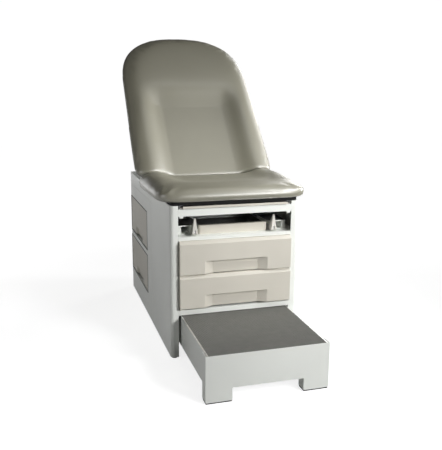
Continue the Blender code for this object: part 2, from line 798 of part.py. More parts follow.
def runner(name, side, level):
    """A channel along the casing, with a foot that reaches into the hollow panel."""
    web = INNER - FIT
    half = RUNNER_HEIGHT / 2
    corners = [
        (web - RUNNER_LIP, -half),
        (HOLLOW, -half),
        (HOLLOW, SHEET - half),
        (web, SHEET - half),
        (web, half),
        (web - RUNNER_LIP, half),
        (web - RUNNER_LIP, half - SHEET),
        (web - SHEET, half - SHEET),
        (web - SHEET, SHEET - half),
        (web - RUNNER_LIP, SHEET - half),
    ]
    loop = [(side * x, level + z) for x, z in corners]
    low, high = CORNER_RADIUS, FRONT_BAY_DEPTH - FIT
    return plate(name, [loop], "Y", low, high, CABINET, STEEL)


# Side drawers


def side_drawer_front(name, side, body):
    """A front set into the casing, with a small scooped grip at its lower edge."""
    outer = BASE_WIDTH / 2 - SIDE_FRONT_RECESS
    ends = sorted((side * outer, side * (outer - SIDE_FRONT_THICKNESS)))
    low_z = REVEAL
    half = SIDE_DRAWER_WIDTH / 2
    low = (ends[0], -half, low_z)
    high = (ends[1], half, low_z + SIDE_DRAWER_HEIGHT)
    front = box(name, low, high, body, BEIGE_MOULDING, 0.0015)
    width = SIDE_GRIP_WIDTH
    sizes = (width, width * 0.8, SIDE_GRIP_HEIGHT, SIDE_GRIP_DEPTH, 0.006)
    scoop = grip_cutter(name + "_grip", *sizes, body)
    scoop.location = (side * outer, 0.0, low_z)
    scoop.rotation_euler.z = side * math.pi / 2
    return cut(front, scoop)


def side_drawer(level, base):
    """A drawer that passes right through the cabinet and opens to either side."""
    middle = SIDE_DRAWER_SETBACK + REVEAL + SIDE_DRAWER_WIDTH / 2
    body = carrier(f"side_drawer_{level}", (0, middle, base), CABINET)
    reach = BASE_WIDTH / 2 - SIDE_FRONT_RECESS - SIDE_FRONT_THICKNESS - FIT
    half = SIDE_DRAWER_WIDTH / 2 - REVEAL
    low = (-reach, -half, FIT)
    high = (reach, half, SIDE_BOX_HEIGHT)
    name = f"side_drawer_box_{level}"
    open_box(name, low, high, BOX_WALL, 0.012, body, STEEL)
    for side in (LEFT, RIGHT):
        side_drawer_front(f"side_drawer_front_{level}_{SIDE_NAMES[side]}", side, body)
    return body


def build_drawers():
    drawer("lower", LOWER_DRAWER_Z)
    drawer("upper", UPPER_DRAWER_Z)
    side_drawer("lower", LOWER_SIDE_Z)
    side_drawer("upper", UPPER_SIDE_Z)


# Step


def step_guide(side):
    """The channel in the hollow panel that the step's shoes run in."""
    mouth = STEP_BODY_WIDTH / 2 + SHEET + RUNNING
    half = SHOE_HEIGHT / 2 + FIT + SHEET
    corners = [
        (mouth + 0.002, -half),
        (HOLLOW, -half),
        (HOLLOW, half),
        (mouth + 0.002, half),
        (mouth + 0.002, half - SHEET),
        (HOLLOW - SHEET, half - SHEET),
        (HOLLOW - SHEET, SHEET - half),
        (mouth + 0.002, SHEET - half),
    ]
    loop = [(side * x, GUIDE_LEVEL + z) for x, z in corners]
    low, high = STEP_APRON_DEPTH, FRONT_BAY_DEPTH - FIT
    name = "step_guide_" + SIDE_NAMES[side]
    return plate(name, [loop], "Y", low, high, CABINET, STEEL)


def step_apron(body):
    """The step's front: a pressed panel with two box legs and a wide cut-out."""
    half = STEP_FRONT_WIDTH / 2
    leg = half - STEP_LEG_WIDTH
    corners = [
        (-half, STEP_FOOT_HEIGHT),
        (-leg, STEP_FOOT_HEIGHT),
        (-leg, STEP_LEG_CUT),
        (leg, STEP_LEG_CUT),
        (leg, STEP_FOOT_HEIGHT),
        (half, STEP_FOOT_HEIGHT),
        (half, STEP_HEIGHT),
        (-half, STEP_HEIGHT),
    ]
    foot = 0.0035
    loop = rounded_loop(corners, [foot, foot, 0.004, 0.004, foot, foot, 0, 0])
    name = "step_apron"
    return pressed_panel(name, loop, STEP_APRON_DEPTH, SHEET, body, WHITE_PAINT, True)


def step_body(body):
    """Side walls and top in one folded sheet, with a slide shoe at the rear of each."""
    wall = STEP_BODY_WIDTH / 2 - SHEET / 2
    top = STEP_HEIGHT - TREAD_THICKNESS - FIT - SHEET / 2
    profile = [(-wall, STEP_LEG_CUT), (-wall, top), (wall, top), (wall, STEP_LEG_CUT)]
    start = SHEET + FIT
    shell = folded("step_body", profile, "Y", start, STEP_LENGTH, SHEET, body, WHITE_PAINT)
    for side in (LEFT, RIGHT):
        ends = sorted((side * wall, side * (HOLLOW - SHEET - RUNNING)))
        low = (ends[0], STEP_LENGTH - SHOE_LENGTH, GUIDE_LEVEL - SHOE_HEIGHT / 2)
        high = (ends[1], STEP_LENGTH - 0.002, GUIDE_LEVEL + SHOE_HEIGHT / 2)
        weld(shell, box(f"step_shoe_{SIDE_NAMES[side]}", low, high, body, None, 0.002))
    return shell


def step_tread(body):
    """A ribbed mat: its section is a row of ribs, which run from front to back."""
    base = STEP_HEIGHT - TREAD_THICKNESS
    half = STEP_BODY_WIDTH / 2 - TRIM_WIDTH + SHEET
    count = int(2 * half / TREAD_RIB_PITCH)
    pitch = 2 * half / count
    groove = STEP_HEIGHT - TREAD_RIB_DEPTH
    loop = [(half, base), (-half, base)]
    for i in range(count):
        x = i * pitch - half
        loop += [(x, STEP_HEIGHT), (x + 0.50 * pitch, STEP_HEIGHT)]
        loop += [(x + 0.66 * pitch, groove), (x + 0.84 * pitch, groove)]
    loop.append((half, STEP_HEIGHT))
    ends = SHEET + 2 * FIT, STEP_LENGTH - 0.004
    return plate("step_tread", [loop], "Y", *ends, body, TREAD_RUBBER)


def step_trim(side, body):
    """An aluminium angle along the edge of the tread."""
    outside = STEP_BODY_WIDTH / 2 + FIT
    inside = STEP_BODY_WIDTH / 2 - TRIM_WIDTH + SHEET + FIT
    skin = 0.0012
    top = STEP_HEIGHT
    corners = [
        (outside, top - 0.009),
        (outside + skin, top - 0.009),
        (outside + skin, top),
        (inside, top),
        (inside, top - TREAD_THICKNESS),
        (outside, top - TREAD_THICKNESS),
    ]
    loop = [(side * x, z) for x, z in corners]
    name = "step_trim_" + SIDE_NAMES[side]
    return plate(name, [loop], "Y", SHEET + 2 * FIT, STEP_LENGTH - 0.004, body, ALUMINIUM)


def step_foot(side, body):
    """A rubber block that closes the foot of a leg."""
    half = STEP_FRONT_WIDTH / 2
    ends = sorted((side * (half - 0.001), side * (half - STEP_LEG_WIDTH + 0.001)))
    low = (ends[0], 0.001, 0.0)
    high = (ends[1], STEP_APRON_DEPTH - 0.001, STEP_FOOT_HEIGHT - FIT)
    name = "step_foot_" + SIDE_NAMES[side]
    return box(name, low, high, body, RUBBER, 0.0015)


def build_step():
    body = carrier("step", (0, -STEP_TRAVEL - STEP_PROUD, 0), CABINET)
    step_apron(body)
    step_body(body)
    step_tread(body)
    for side in (LEFT, RIGHT):
        step_guide(side)
        step_trim(side, body)
        step_foot(side, body)


# Foot extension


def extension_slide(side):
    """A channel under the seat board that holds one edge of the extension tray."""
    edge = EXTENSION_WIDTH / 2
    inside, outside = edge + RUNNING, edge + 0.0155
    low, high = RAIL_TOP + 0.0005, BASE_HEIGHT
    wall = 0.0015
    corners = [
        (inside, low),
        (outside, low),
        (outside, high),
        (inside, high),
        (inside, high - wall),
        (outside - wall, high - wall),
        (outside - wall, low + wall),
        (inside, low + wall),
    ]
    loop = [(side * x, z) for x, z in corners]
    name = "extension_slide_" + SIDE_NAMES[side]
    return plate(name, [loop], "Y", 0.006, EXTENSION_LENGTH + 0.01, CABINET, STEEL)


def build_extension():
    body = carrier("extension", (0, 0, TRAY_Z), CABINET)
    half = EXTENSION_WIDTH / 2
    flange = half + 0.0115
    corners = [
        (-half, -0.004),
        (half, -0.004),
        (half, 0.004),
        (flange, 0.006),
        (flange, EXTENSION_LENGTH),
        (-flange, EXTENSION_LENGTH),
        (-flange, 0.006),
        (-half, 0.004),
    ]
    loops = [corners]
    tray = plate("extension_tray", loops, "Z", 0.0, SHEET, body, BEIGE_MOULDING)
    low, high = (-half, -0.004, 0.0), (half, -0.002, EXTENSION_LIP)
    weld(tray, box("extension_lip", low, high, body, None))
    pad_low = (-half + 0.001, -0.002 + FIT, SHEET + FIT)
    pad_high = (half - 0.001, EXTENSION_LENGTH, SHEET + EXTENSION_PAD_THICKNESS)
    box("extension_pad", pad_low, pad_high, body, VINYL, 0.0015)
    for side in (LEFT, RIGHT):
        extension_slide(side)


# Stirrups and treatment pan


def stirrup_housing(side):
    """An extruded bracket with a guide for the arm and an open window beside it."""
    name = "stirrup_housing_" + SIDE_NAMES[side]
    low_z = DECK_Z + FIT
    high_z = low_z + HOUSING_HEIGHT
    arm = ARM_SIZE / 2 + RUNNING
    centre = arm_level()
    guide_low = (STIRRUP_OFFSET - arm, centre - ARM_SIZE / 2 - FIT)
    guide_high = (STIRRUP_OFFSET + arm, centre + ARM_SIZE / 2 + RUNNING)
    window_low = (WINDOW_INNER, low_z + 0.003)
    window_high = (WINDOW_OUTER, high_z - 0.005)
    inner = STIRRUP_OFFSET - ARM_SIZE / 2 - 0.0075
    loops = [
        rectangle((inner, low_z), (HOUSING_OUTER, high_z), 0.002),
        rectangle(guide_low, guide_high),
        rectangle(window_low, window_high, 0.002),
    ]
    loops = [[(side * x, z) for x, z in loop] for loop in loops]
    end = HOUSING_SETBACK + HOUSING_LENGTH
    return plate(name, loops, "Y", HOUSING_SETBACK, end, CABINET, WHITE_PAINT)


def arm_level():
    return DECK_Z + 0.006 + ARM_SIZE / 2


def heel_level():
    return DECK_Z + HEEL_PIVOT_LIFT


def stirrup_arm(side, body):
    """A square tube that ends in a tongue for the heel rest."""
    name = "stirrup_arm_" + SIDE_NAMES[side]
    half = ARM_SIZE / 2
    start = HOUSING_SETBACK - 0.001
    outline = rectangle((-half, -half), (half, half), 0.002)
    inside = half - ARM_WALL
    hollow = rectangle((-inside, -inside), (inside, inside))
    arm = plate(name, [outline, hollow], "Y", start, start + ARM_LENGTH, body, STEEL)
    face = half - 0.001
    low = (-face, start - 0.001, -face)
    plug = box(name + "_plug", low, (face, start + 0.008, face), body, None)
    lift = heel_level() - arm_level()
    eye = 0.0085
    tongue = [
        (HEEL_PIVOT_SETBACK, lift - eye),
        (start + 0.004, 0.002 - half),
        (start + 0.004, half - 0.002),
        (HEEL_PIVOT_SETBACK, lift + eye),
        (HEEL_PIVOT_SETBACK - 0.006, lift + 0.006),
        (HEEL_PIVOT_SETBACK - eye, lift),
        (HEEL_PIVOT_SETBACK - 0.006, lift - 0.006),
    ]
    hole = circle((HEEL_PIVOT_SETBACK, lift), PIN_RADIUS + 0.0004)
    blade = plate(name + "_tongue", [tongue, hole], "X", -0.003, 0.003, body, None)
    return weld(arm, plug, blade)


def heel_rest(side, body):
    """A tapered scoop, open to the rear, that folds forwards and down about its pin."""
    name = "heel_rest_" + SIDE_NAMES[side]
    front = 0.010 - HEEL_PIVOT_SETBACK
    rear = front + HEEL_DEPTH
    low = -0.0095
    tip = low + HEEL_HEIGHT
    profile = [
        (front, low),
        (rear - 0.006, low),
        (rear, low + 0.010),
        (rear - 0.002, low + 0.30 * HEEL_HEIGHT),
        (rear - 0.009, low + 0.55 * HEEL_HEIGHT),
        (rear - 0.019, low + 0.80 * HEEL_HEIGHT),
        (front + 0.009, tip),
        (front + 0.004, tip),
    ]
    loop = rounded_loop(profile, [0.008, 0.002, 0, 0, 0, 0, 0.002, 0.002])
    half = HEEL_WIDTH / 2
    heel = plate(name, [loop], "X", -half, half, body, WHITE_PAINT)
    taper(heel, low, tip)
    inside = [
        (front + 0.0035, low + 0.022),
        (rear + 0.010, low + 0.022),
        (rear + 0.010, tip + 0.004),
        (front + 0.0115, tip + 0.004),
        (front + 0.0065, low + 0.75 * HEEL_HEIGHT),
    ]
    wall = 0.0025
    pocket = plate(name + "_pocket", [inside], "X", wall - half, half - wall, body, None)
    taper(pocket, low, tip)
    slot_low = (-0.0036, front - 0.004, low - 0.002)
    slot_high = (0.0036, rear + 0.004, low + 0.0195)
    slot = box(name + "_slot", slot_low, slot_high, body, None)
    pin_ends = (-half + 0.001, 0, 0), (half - 0.001, 0, 0)
    pin = rod(name + "_pin", *pin_ends, PIN_RADIUS, body, None)
    cut(heel, pocket, slot)
    return weld(heel, pin)


def taper(obj, low, tip):
    """Narrows a scoop towards its tip."""
    for vert in obj.data.vertices:
        share = min(max((vert.co.z - low) / (tip - low), 0.0), 1.0)
        vert.co.x *= 1 - (1 - HEEL_TIP_SCALE) * share


def build_stirrups():
    for side in (LEFT, RIGHT):
        stirrup_housing(side)
        side_name = SIDE_NAMES[side]
        place = (side * STIRRUP_OFFSET, 0, arm_level())
        arm = carrier("stirrup_" + side_name, place, CABINET)
        stirrup_arm(side, arm)
        pivot = (0, HEEL_PIVOT_SETBACK, heel_level() - arm_level())
        heel_rest(side, carrier("heel_" + side_name, pivot, arm))


def build_pan():
    """A drawn pan on the shelf of the recess, with a moulded front."""
    body = carrier("pan", (0, PAN_SETBACK, DECK_Z + FIT), CABINET)
    half = PAN_FRONT_WIDTH / 2
    corners = [
        (-half, 0),
        (half, 0),
        (half, PAN_FRONT_THICKNESS),
        (-half, PAN_FRONT_THICKNESS),
    ]
    loop = rounded_loop(corners, [0.012, 0.012, 0.002, 0.002])
    plate("pan_front", [loop], "Z", 0.0, PAN_FRONT_HEIGHT, body, BEIGE_MOULDING)
    start = PAN_FRONT_THICKNESS + FIT
    low = (-PAN_WIDTH / 2, start, 0)
    high = (PAN_WIDTH / 2, start + PAN_LENGTH, PAN_DEPTH)
    open_box("treatment_pan", low, high, 0.0012, 0.010, body, STAINLESS)


# Seat, back and their hinge


def seat_relief(x, y):
    """A shallow dish in the middle of the seat, deeper towards the back."""
    side = 1 - smooth_step(abs(x), 0.16, 0.28)
    depth = smooth_step(y, -0.19, 0.05)
    front = 0.010 * (1 - smooth_step(y, -0.24, -0.10))
    return SEAT_DISH * side * depth + front


def build_seat():
    board_end = HINGE_SETBACK - 0.022
    outline = rectangle((-BOARD_WIDTH / 2, 0.004), (BOARD_WIDTH / 2, board_end), 0.02)
    top = BOARD_Z + BOARD_THICKNESS
    plate("seat_board", [outline], "Z", BOARD_Z, top, CABINET, BLACK_BOARD)
    centre = (0.0, SEAT_LENGTH / 2 - SEAT_OVERHANG, CUSHION_Z)
    front = (SEAT_LENGTH / 2, SEAT_FRONT_CORNERS, SEAT_FRONT_ROUNDING)
    rear = (SEAT_LENGTH / 2, SEAT_REAR_CORNERS, SEAT_REAR_ROUNDING)
    widths = (SEAT_FRONT_WIDTH, PAD_JOINT_WIDTH)
    shape = (widths, (front, rear), CUSHION_THICKNESS, seat_relief)
    cushion("seat_cushion", centre, *shape, CABINET)


BACK_MIDDLE = BACK_START + BACK_LENGTH - BACK_ROUND


def back_relief(x, s):
    """A dished panel below the head bolster, between the side bolsters."""
    side = 1 - smooth_step(abs(x), 0.17, 0.28)
    head = 1 - smooth_step(s, -0.14, -0.03)
    return BACK_DISH * side * head


def back_board(body, underside):
    """The shell under the back cushion, with lugs for the release handle."""
    half = BOARD_WIDTH / 2
    straight = BACK_LENGTH - BACK_ROUND
    end = BACK_ROUND - BACK_BOARD_INSET
    turns = [math.pi * i / 28 for i in range(29)]
    arch = [superellipse(turn, half, end, HEAD_CORNERS) for turn in turns]
    loop = [(x, y + BACK_MIDDLE) for x, y in arch]
    start = BACK_MIDDLE - straight + 0.004
    loop += [(-half, start), (half, start)]
    low = underside - BOARD_THICKNESS
    board = plate("back_board", [loop], "Z", low, underside, body, BLACK_BOARD)
    pivot = low - 0.012
    for side in (LEFT, RIGHT):
        eye = circle((HANDLE_PIVOT, pivot), HANDLE_RADIUS + 0.0006)
        lug = [
            (HANDLE_PIVOT - 0.014, low + 0.002),
            (HANDLE_PIVOT - 0.009, pivot - 0.009),
            (HANDLE_PIVOT + 0.009, pivot - 0.009),
            (HANDLE_PIVOT + 0.014, low + 0.002),
        ]
        ends = sorted((side * 0.050, side * 0.056))
        loops = [rounded_loop(lug, [0, 0.006, 0.006, 0]), eye]
        name = "handle_lug_" + SIDE_NAMES[side]
        weld(board, plate(name, loops, "X", *ends, body, None))
    return board, pivot


def release_handle(board_body, pivot):
    """A bent loop that turns in the lugs and frees the gas spring."""
    body = carrier("handle", (0, HANDLE_PIVOT, pivot), board_body)
    half = HANDLE_WIDTH / 2
    curve = bpy.data.curves.new("release_handle", "CURVE")
    curve.dimensions = "3D"
    curve.bevel_depth = HANDLE_RADIUS
    curve.bevel_resolution = 2
    curve.use_fill_caps = True
    spline = curve.splines.new("POLY")
    drop = -0.010
    corners = [(-half, 0.0), (-half, HANDLE_REACH), (half, HANDLE_REACH), (half, 0.0)]
    path = [Vector((-0.046, 0.0))]
    befores = [(-0.046, 0.0)] + corners
    afters = corners[1:] + [(0.046, 0.0)]
    for before, corner, after in zip(befores, corners, afters):
        path += corner_points(corner, before, after, 0.022, 5)
    path.append(Vector((0.046, 0.0)))
    spline.points.add(len(path) - 1)
    for point, (x, y) in zip(spline.points, path):
        point.co = (x, y, drop * y / HANDLE_REACH, 1.0)
    curve.materials.append(STEEL)
    handle = bpy.data.objects.new("release_handle", curve)
    handle.parent = body
    TABLE.objects.link(handle)
    return handle


def back_frame(body, top):
    """Two rails and three cross members, with the hinge arms and the spring's clevis."""
    low = top - FRAME_RAIL_HEIGHT
    width = FRAME_RAIL_WIDTH / 2
    base = top - CROSS_MEMBER_HEIGHT
    members = []
    half = CROSS_MEMBER_WIDTH / 2
    last = FRAME_LENGTH - half
    for middle in (SPRING_HEAD_REACH, (SPRING_HEAD_REACH + last) / 2, last):
        member_low = (-FRAME_OFFSET, middle - half, base)
        member_high = (FRAME_OFFSET, middle + half, top)
        name = f"cross_member_{len(members)}" if members else "back_frame"
        finish = None if members else STEEL
        members.append(box(name, member_low, member_high, body, finish, 0.001))
    frame = members[0]
    for side in (LEFT, RIGHT):
        name = SIDE_NAMES[side]
        rail_low = (side * FRAME_OFFSET - width, FRAME_START, low)
        rail_high = (side * FRAME_OFFSET + width, FRAME_LENGTH + 0.002, top - 0.001)
        rail = box(f"frame_rail_{name}", rail_low, rail_high, body, None, 0.0015)
        weld(frame, rail, hinge_arm(side, body, top), spring_lug(side, body, base))
    return weld(frame, *members[1:])


def hinge_arm(side, body, top):
    """A cranked plate from the pivot round the end of the board to the frame."""
    eye = HINGE_EYE
    foot = top - 0.012
    corners = [
        (-eye, foot),
        (0.085, foot),
        (0.085, top - 0.002),
        (eye, top - 0.002),
        (eye, eye),
        (-eye, eye),
    ]
    hole = circle((0, 0), HINGE_PIN_RADIUS + 0.0004)
    loop = rounded_loop(corners, [0.006, 0.004, 0.002, 0.002, 0.0125, 0.0125])
    inner = HINGE_OFFSET - HINGE_PLATE - 0.0005
    ends = sorted((side * inner, side * (inner - HINGE_PLATE)))
    return plate("hinge_arm_" + SIDE_NAMES[side], [loop, hole], "X", *ends, body, None)


def spring_lug(side, body, low):
    """One cheek of the clevis that the gas spring's rod end sits in."""
    y, z = SPRING_HEAD_REACH, -SPRING_HEAD_DROP
    corners = [(y - 0.016, low + 0.006), (y - 0.010, z - 0.008), (y + 0.010, z - 0.008)]
    corners.append((y + 0.016, low + 0.006))
    loop = rounded_loop(corners, [0, 0.007, 0.007, 0])
    inner = EYE_WIDTH / 2 + 0.0006
    ends = sorted((side * inner, side * (inner + 0.004)))
    return plate("spring_lug_" + SIDE_NAMES[side], [loop], "X", *ends, body, None)


def hinge_rail():
    """The cross member under the seat that carries the hinge and the gas spring."""
    end = HINGE_SETBACK - 0.020
    start = end - HINGE_RAIL_DEPTH
    top = RAIL_TOP - 0.001 - SHEET / 2
    low = top - HINGE_RAIL_HEIGHT
    middle = end - SHEET / 2
    profile = [(start, low), (start, top), (middle, top), (middle, low)]
    rail = folded("hinge_rail", profile, "X", -HOLLOW, HOLLOW, SHEET, CABINET, STEEL)
    foot_z = HINGE_Z - SPRING_FOOT_DROP
    y = HINGE_SETBACK + SPRING_FOOT_SETBACK
    inner = EYE_WIDTH / 2 + 0.0006
    for side in (LEFT, RIGHT):
        corners = [
            (middle, low + 0.002),
            (middle, top - 0.002),
            (y + 0.002, foot_z + 0.009),
            (y + 0.009, foot_z),
            (y + 0.002, foot_z - 0.009),
        ]
        loop = rounded_loop(corners, [0, 0, 0.003, 0.004, 0.003])
        ends = sorted((side * inner, side * (inner + 0.004)))
        foot = plate("spring_foot_" + SIDE_NAMES[side], [loop], "X", *ends, CABINET, None)
        weld(rail, foot, hinge_bracket(side))
    pin_ends = (-inner - 0.006, y, foot_z), (inner + 0.006, y, foot_z)
    return weld(rail, rod("spring_foot_pin", *pin_ends, 0.004, CABINET, None))


def hinge_bracket(side):
    """A fixed plate that rises from the hinge rail to the pivot."""
    base = HINGE_SETBACK - 0.020 - SHEET
    low = RAIL_TOP - 0.001 - HINGE_RAIL_HEIGHT
    eye = HINGE_EYE
    corners = [
        (base, low),
        (HINGE_SETBACK + 0.002, low),
        (HINGE_SETBACK + eye, BASE_HEIGHT),
        (HINGE_SETBACK + eye, HINGE_Z + eye),
        (HINGE_SETBACK - eye, HINGE_Z + eye),
        (HINGE_SETBACK - eye, BASE_HEIGHT),
        (base, RAIL_TOP - 0.003),
    ]
    loop = rounded_loop(corners, [0.002, 0.004, 0.006, 0.0125, 0.0125, 0.003, 0.002])
    hole = circle((HINGE_SETBACK, HINGE_Z), HINGE_PIN_RADIUS + FIT)
    ends = sorted((side * HINGE_OFFSET, side * (HINGE_OFFSET + HINGE_PLATE)))
    name = "hinge_bracket_" + SIDE_NAMES[side]
    return plate(name, [loop, hole], "X", *ends, CABINET, None)


def hinge_pin(side):
    """A headed pin through the bracket and the arm of the back frame."""
    y, z = HINGE_SETBACK, HINGE_Z
    outer = HINGE_OFFSET + HINGE_PLATE + FIT
    inner = HINGE_OFFSET - HINGE_PLATE - 0.008
    name = "hinge_pin_" + SIDE_NAMES[side]
    shaft = (side * inner, y, z), (side * (outer + 0.002), y, z)
    pin = rod(name, *shaft, HINGE_PIN_RADIUS, CABINET, STEEL)
    head = (side * outer, y, z), (side * (outer + 0.004), y, z)
    return weld(pin, rod(name + "_head", *head, HINGE_PIN_RADIUS + 0.003, CABINET, None))


def gas_spring():
    """A cylinder on the hinge rail whose rod reaches the clevis of the back frame."""
    tilt = math.radians(REST_ANGLE)
    drop = -SPRING_HEAD_DROP
    head = Vector((0, SPRING_HEAD_REACH, drop))
    head.rotate(Matrix.Rotation(tilt, 3, "X"))
    foot = Vector((0, SPRING_FOOT_SETBACK, -SPRING_FOOT_DROP))
    span = head - foot
    place = foot + Vector((0, HINGE_SETBACK, HINGE_Z))
    body = carrier("spring", place, CABINET, math.atan2(span.z, span.y))
    half = EYE_WIDTH / 2
    neck = 0.016
    tube = (0, neck, 0), (0, CYLINDER_LENGTH, 0)
    barrel = rod("gas_spring_cylinder", *tube, CYLINDER_RADIUS, body, BLACK_BOARD)
    ring = [circle((0, 0), EYE_RADIUS), circle((0, 0), 0.0046)]
    eye = plate("cylinder_eye", ring, "X", -half, half, body, None)
    stem_ends = (0, EYE_RADIUS - 0.002, 0), (0, neck + 0.004, 0)
    stem = rod("cylinder_stem", *stem_ends, 0.0045, body, None)
    bore_ends = (0, neck + 0.006, 0), (0, CYLINDER_LENGTH + 0.01, 0)
    bore = rod("cylinder_bore", *bore_ends, ROD_RADIUS + 0.001, body, None)
    weld(barrel, stem, eye)
    cut(barrel, bore)
    end = span.length
    shaft = rod("gas_spring_rod", (0, ROD_START, 0), (0, end - 0.006, 0), ROD_RADIUS, body, STAINLESS)
    ring = [circle((end, 0), EYE_RADIUS - 0.001), circle((end, 0), 0.003)]
    weld(shaft, plate("rod_eye", ring, "X", -half, half, body, None))


def build_back():
    place = (0, HINGE_SETBACK, HINGE_Z)
    body = carrier("back", place, CABINET, math.radians(REST_ANGLE))
    underside = -HINGE_LIFT + BOARD_THICKNESS + 2 * FIT
    cushion_low = underside + FIT
    centre = (0.0, BACK_MIDDLE, cushion_low)
    foot = (BACK_LENGTH - BACK_ROUND, BACK_FOOT_CORNERS, BACK_FOOT_ROUNDING)
    head = (BACK_ROUND, HEAD_CORNERS, HEAD_ROUNDING)
    widths = (PAD_JOINT_WIDTH, HEAD_WIDTH)
    shape = (widths, (foot, head), CUSHION_THICKNESS, back_relief)
    cushion("back_cushion", centre, *shape, body)
    _, pivot = back_board(body, underside)
    release_handle(body, pivot)
    back_frame(body, underside - BOARD_THICKNESS - FIT)
    hinge_rail()
    for side in (LEFT, RIGHT):
        hinge_pin(side)
    gas_spring()


build_cabinet()
build_drawers()
build_step()
build_extension()
build_stirrups()
build_pan()
build_seat()
build_back()
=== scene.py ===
"""A medical exam table dressed in Blender: vinyl pads, powder-coated sheet, moulded fronts.

Each cell does one thing and prints what it made. The solid frame comes first and never
moves. What follows gives it finishes, and adds the soft and the small pieces.
"""

# %% [markdown]
# The frame is the table's own solid model, with one object for every rigid piece. All of
# them share metres and one origin, on the floor under the middle of the table. The soft
# pieces could be placed by eye, but reading the places of the solids keeps them true.

# %% Load the frame
import json
import math

import bmesh
import bpy
import numpy as np
from mathutils import Matrix, Vector


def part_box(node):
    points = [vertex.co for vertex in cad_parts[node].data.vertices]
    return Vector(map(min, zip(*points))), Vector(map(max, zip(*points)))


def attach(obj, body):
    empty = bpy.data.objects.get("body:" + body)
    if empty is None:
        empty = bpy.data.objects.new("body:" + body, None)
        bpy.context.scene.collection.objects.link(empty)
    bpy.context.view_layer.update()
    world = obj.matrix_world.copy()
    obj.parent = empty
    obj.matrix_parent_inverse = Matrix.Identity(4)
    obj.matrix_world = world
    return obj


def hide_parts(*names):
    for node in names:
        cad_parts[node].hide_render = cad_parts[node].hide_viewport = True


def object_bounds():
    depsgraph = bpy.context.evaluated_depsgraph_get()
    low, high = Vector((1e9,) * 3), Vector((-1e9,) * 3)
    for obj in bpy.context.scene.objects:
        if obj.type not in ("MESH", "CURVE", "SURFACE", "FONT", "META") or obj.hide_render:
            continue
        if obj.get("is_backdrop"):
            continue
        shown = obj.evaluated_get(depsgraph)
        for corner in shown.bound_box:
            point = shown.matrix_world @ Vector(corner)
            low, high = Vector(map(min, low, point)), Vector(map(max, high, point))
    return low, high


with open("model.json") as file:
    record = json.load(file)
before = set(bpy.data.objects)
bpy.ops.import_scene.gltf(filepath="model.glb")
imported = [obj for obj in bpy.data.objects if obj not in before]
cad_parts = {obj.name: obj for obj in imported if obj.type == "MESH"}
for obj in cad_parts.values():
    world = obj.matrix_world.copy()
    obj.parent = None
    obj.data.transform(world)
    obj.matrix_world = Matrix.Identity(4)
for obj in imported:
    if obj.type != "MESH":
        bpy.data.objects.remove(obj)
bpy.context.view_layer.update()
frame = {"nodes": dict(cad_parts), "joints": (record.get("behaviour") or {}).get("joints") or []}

FRONT_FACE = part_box("side_panel_left")[0].y
print("the cabinet's front face stands at y =", round(FRONT_FACE, 4))

# %% [markdown]
# A camera is a place, three turns and a lens. It stands to the left of the table's front,
# a little above the seat, and looks slightly down. The turns could be set by a Track To
# constraint, but written as a matrix they also hold the small roll of a hand-held camera.

# %% Camera
CAMERA_PLACE = Vector((-0.8754, FRONT_FACE - 2.674, 1.2572))
CAMERA_YAW = math.radians(-16.74)
CAMERA_PITCH = math.radians(12.85)
CAMERA_ROLL = math.radians(0.47)
LENS = 50.97
SENSOR = 36.0

camera = bpy.data.objects.new("camera", bpy.data.cameras.new("camera"))
bpy.context.scene.collection.objects.link(camera)
bpy.context.scene.camera = camera
heading = Matrix.Rotation(CAMERA_YAW, 4, "Z")
nod = Matrix.Rotation(math.pi / 2 - CAMERA_PITCH, 4, "X")
lean = Matrix.Rotation(CAMERA_ROLL, 4, "Z")
camera.matrix_world = Matrix.Translation(CAMERA_PLACE) @ heading @ nod @ lean
camera.data.lens = LENS
camera.data.sensor_width = SENSOR
print("camera looks along", [round(v, 3) for v in -camera.matrix_world.col[2].xyz])

# %% [markdown]
# The floor is one plane, and it is marked as stage, so it isn't part of the table. The
# background could be a curved sheet of paper, but a sky that the camera sees as white does
# the same and has no edge. The sky hardly lights anything, because light from all sides
# would leave no side of the table darker than another. Shiny surfaces mirror a little of
# it: the Light Path node tells these three kinds of ray apart.

# %% Floor and sky
FLOOR_HALF = 9.0
SKY_SEEN = 1.0
SKY_LIGHTING = 0.01
SKY_SHEEN = 0.04


def deselect_all():
    """Lets go of every object, so that an operator can't touch the wrong one."""
    for obj in bpy.context.selected_objects:
        obj.select_set(False)
    bpy.context.view_layer.objects.active = None


def added(name):
    """Names the object that an operator has just added, and its mesh with it."""
    obj = bpy.context.active_object
    obj.name = name
    if obj.data:
        obj.data.name = name
    return obj


deselect_all()
bpy.ops.mesh.primitive_plane_add(size=2 * FLOOR_HALF)
floor = added("floor")
floor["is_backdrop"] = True

world = bpy.data.worlds.new("studio")
bpy.context.scene.world = world
world.use_nodes = True
sky = world.node_tree.nodes["Background"]
sky.inputs["Color"].default_value = (1, 1, 1, 1)
path = world.node_tree.nodes.new("ShaderNodeLightPath")
share = None
for kind, amount in (("Is Camera Ray", SKY_SEEN), ("Is Glossy Ray", SKY_SHEEN)):
    part = world.node_tree.nodes.new("ShaderNodeMath")
    part.operation = "MULTIPLY_ADD"
    part.inputs[1].default_value = amount
    part.inputs[2].default_value = SKY_LIGHTING
    world.node_tree.links.new(path.outputs[kind], part.inputs[0])
    if share:
        world.node_tree.links.new(share.outputs[0], part.inputs[2])
    share = part
world.node_tree.links.new(share.outputs[0], sky.inputs["Strength"])
bpy.context.scene.view_settings.view_transform = "Standard"
print("floor is", 2 * FLOOR_HALF, "m across")

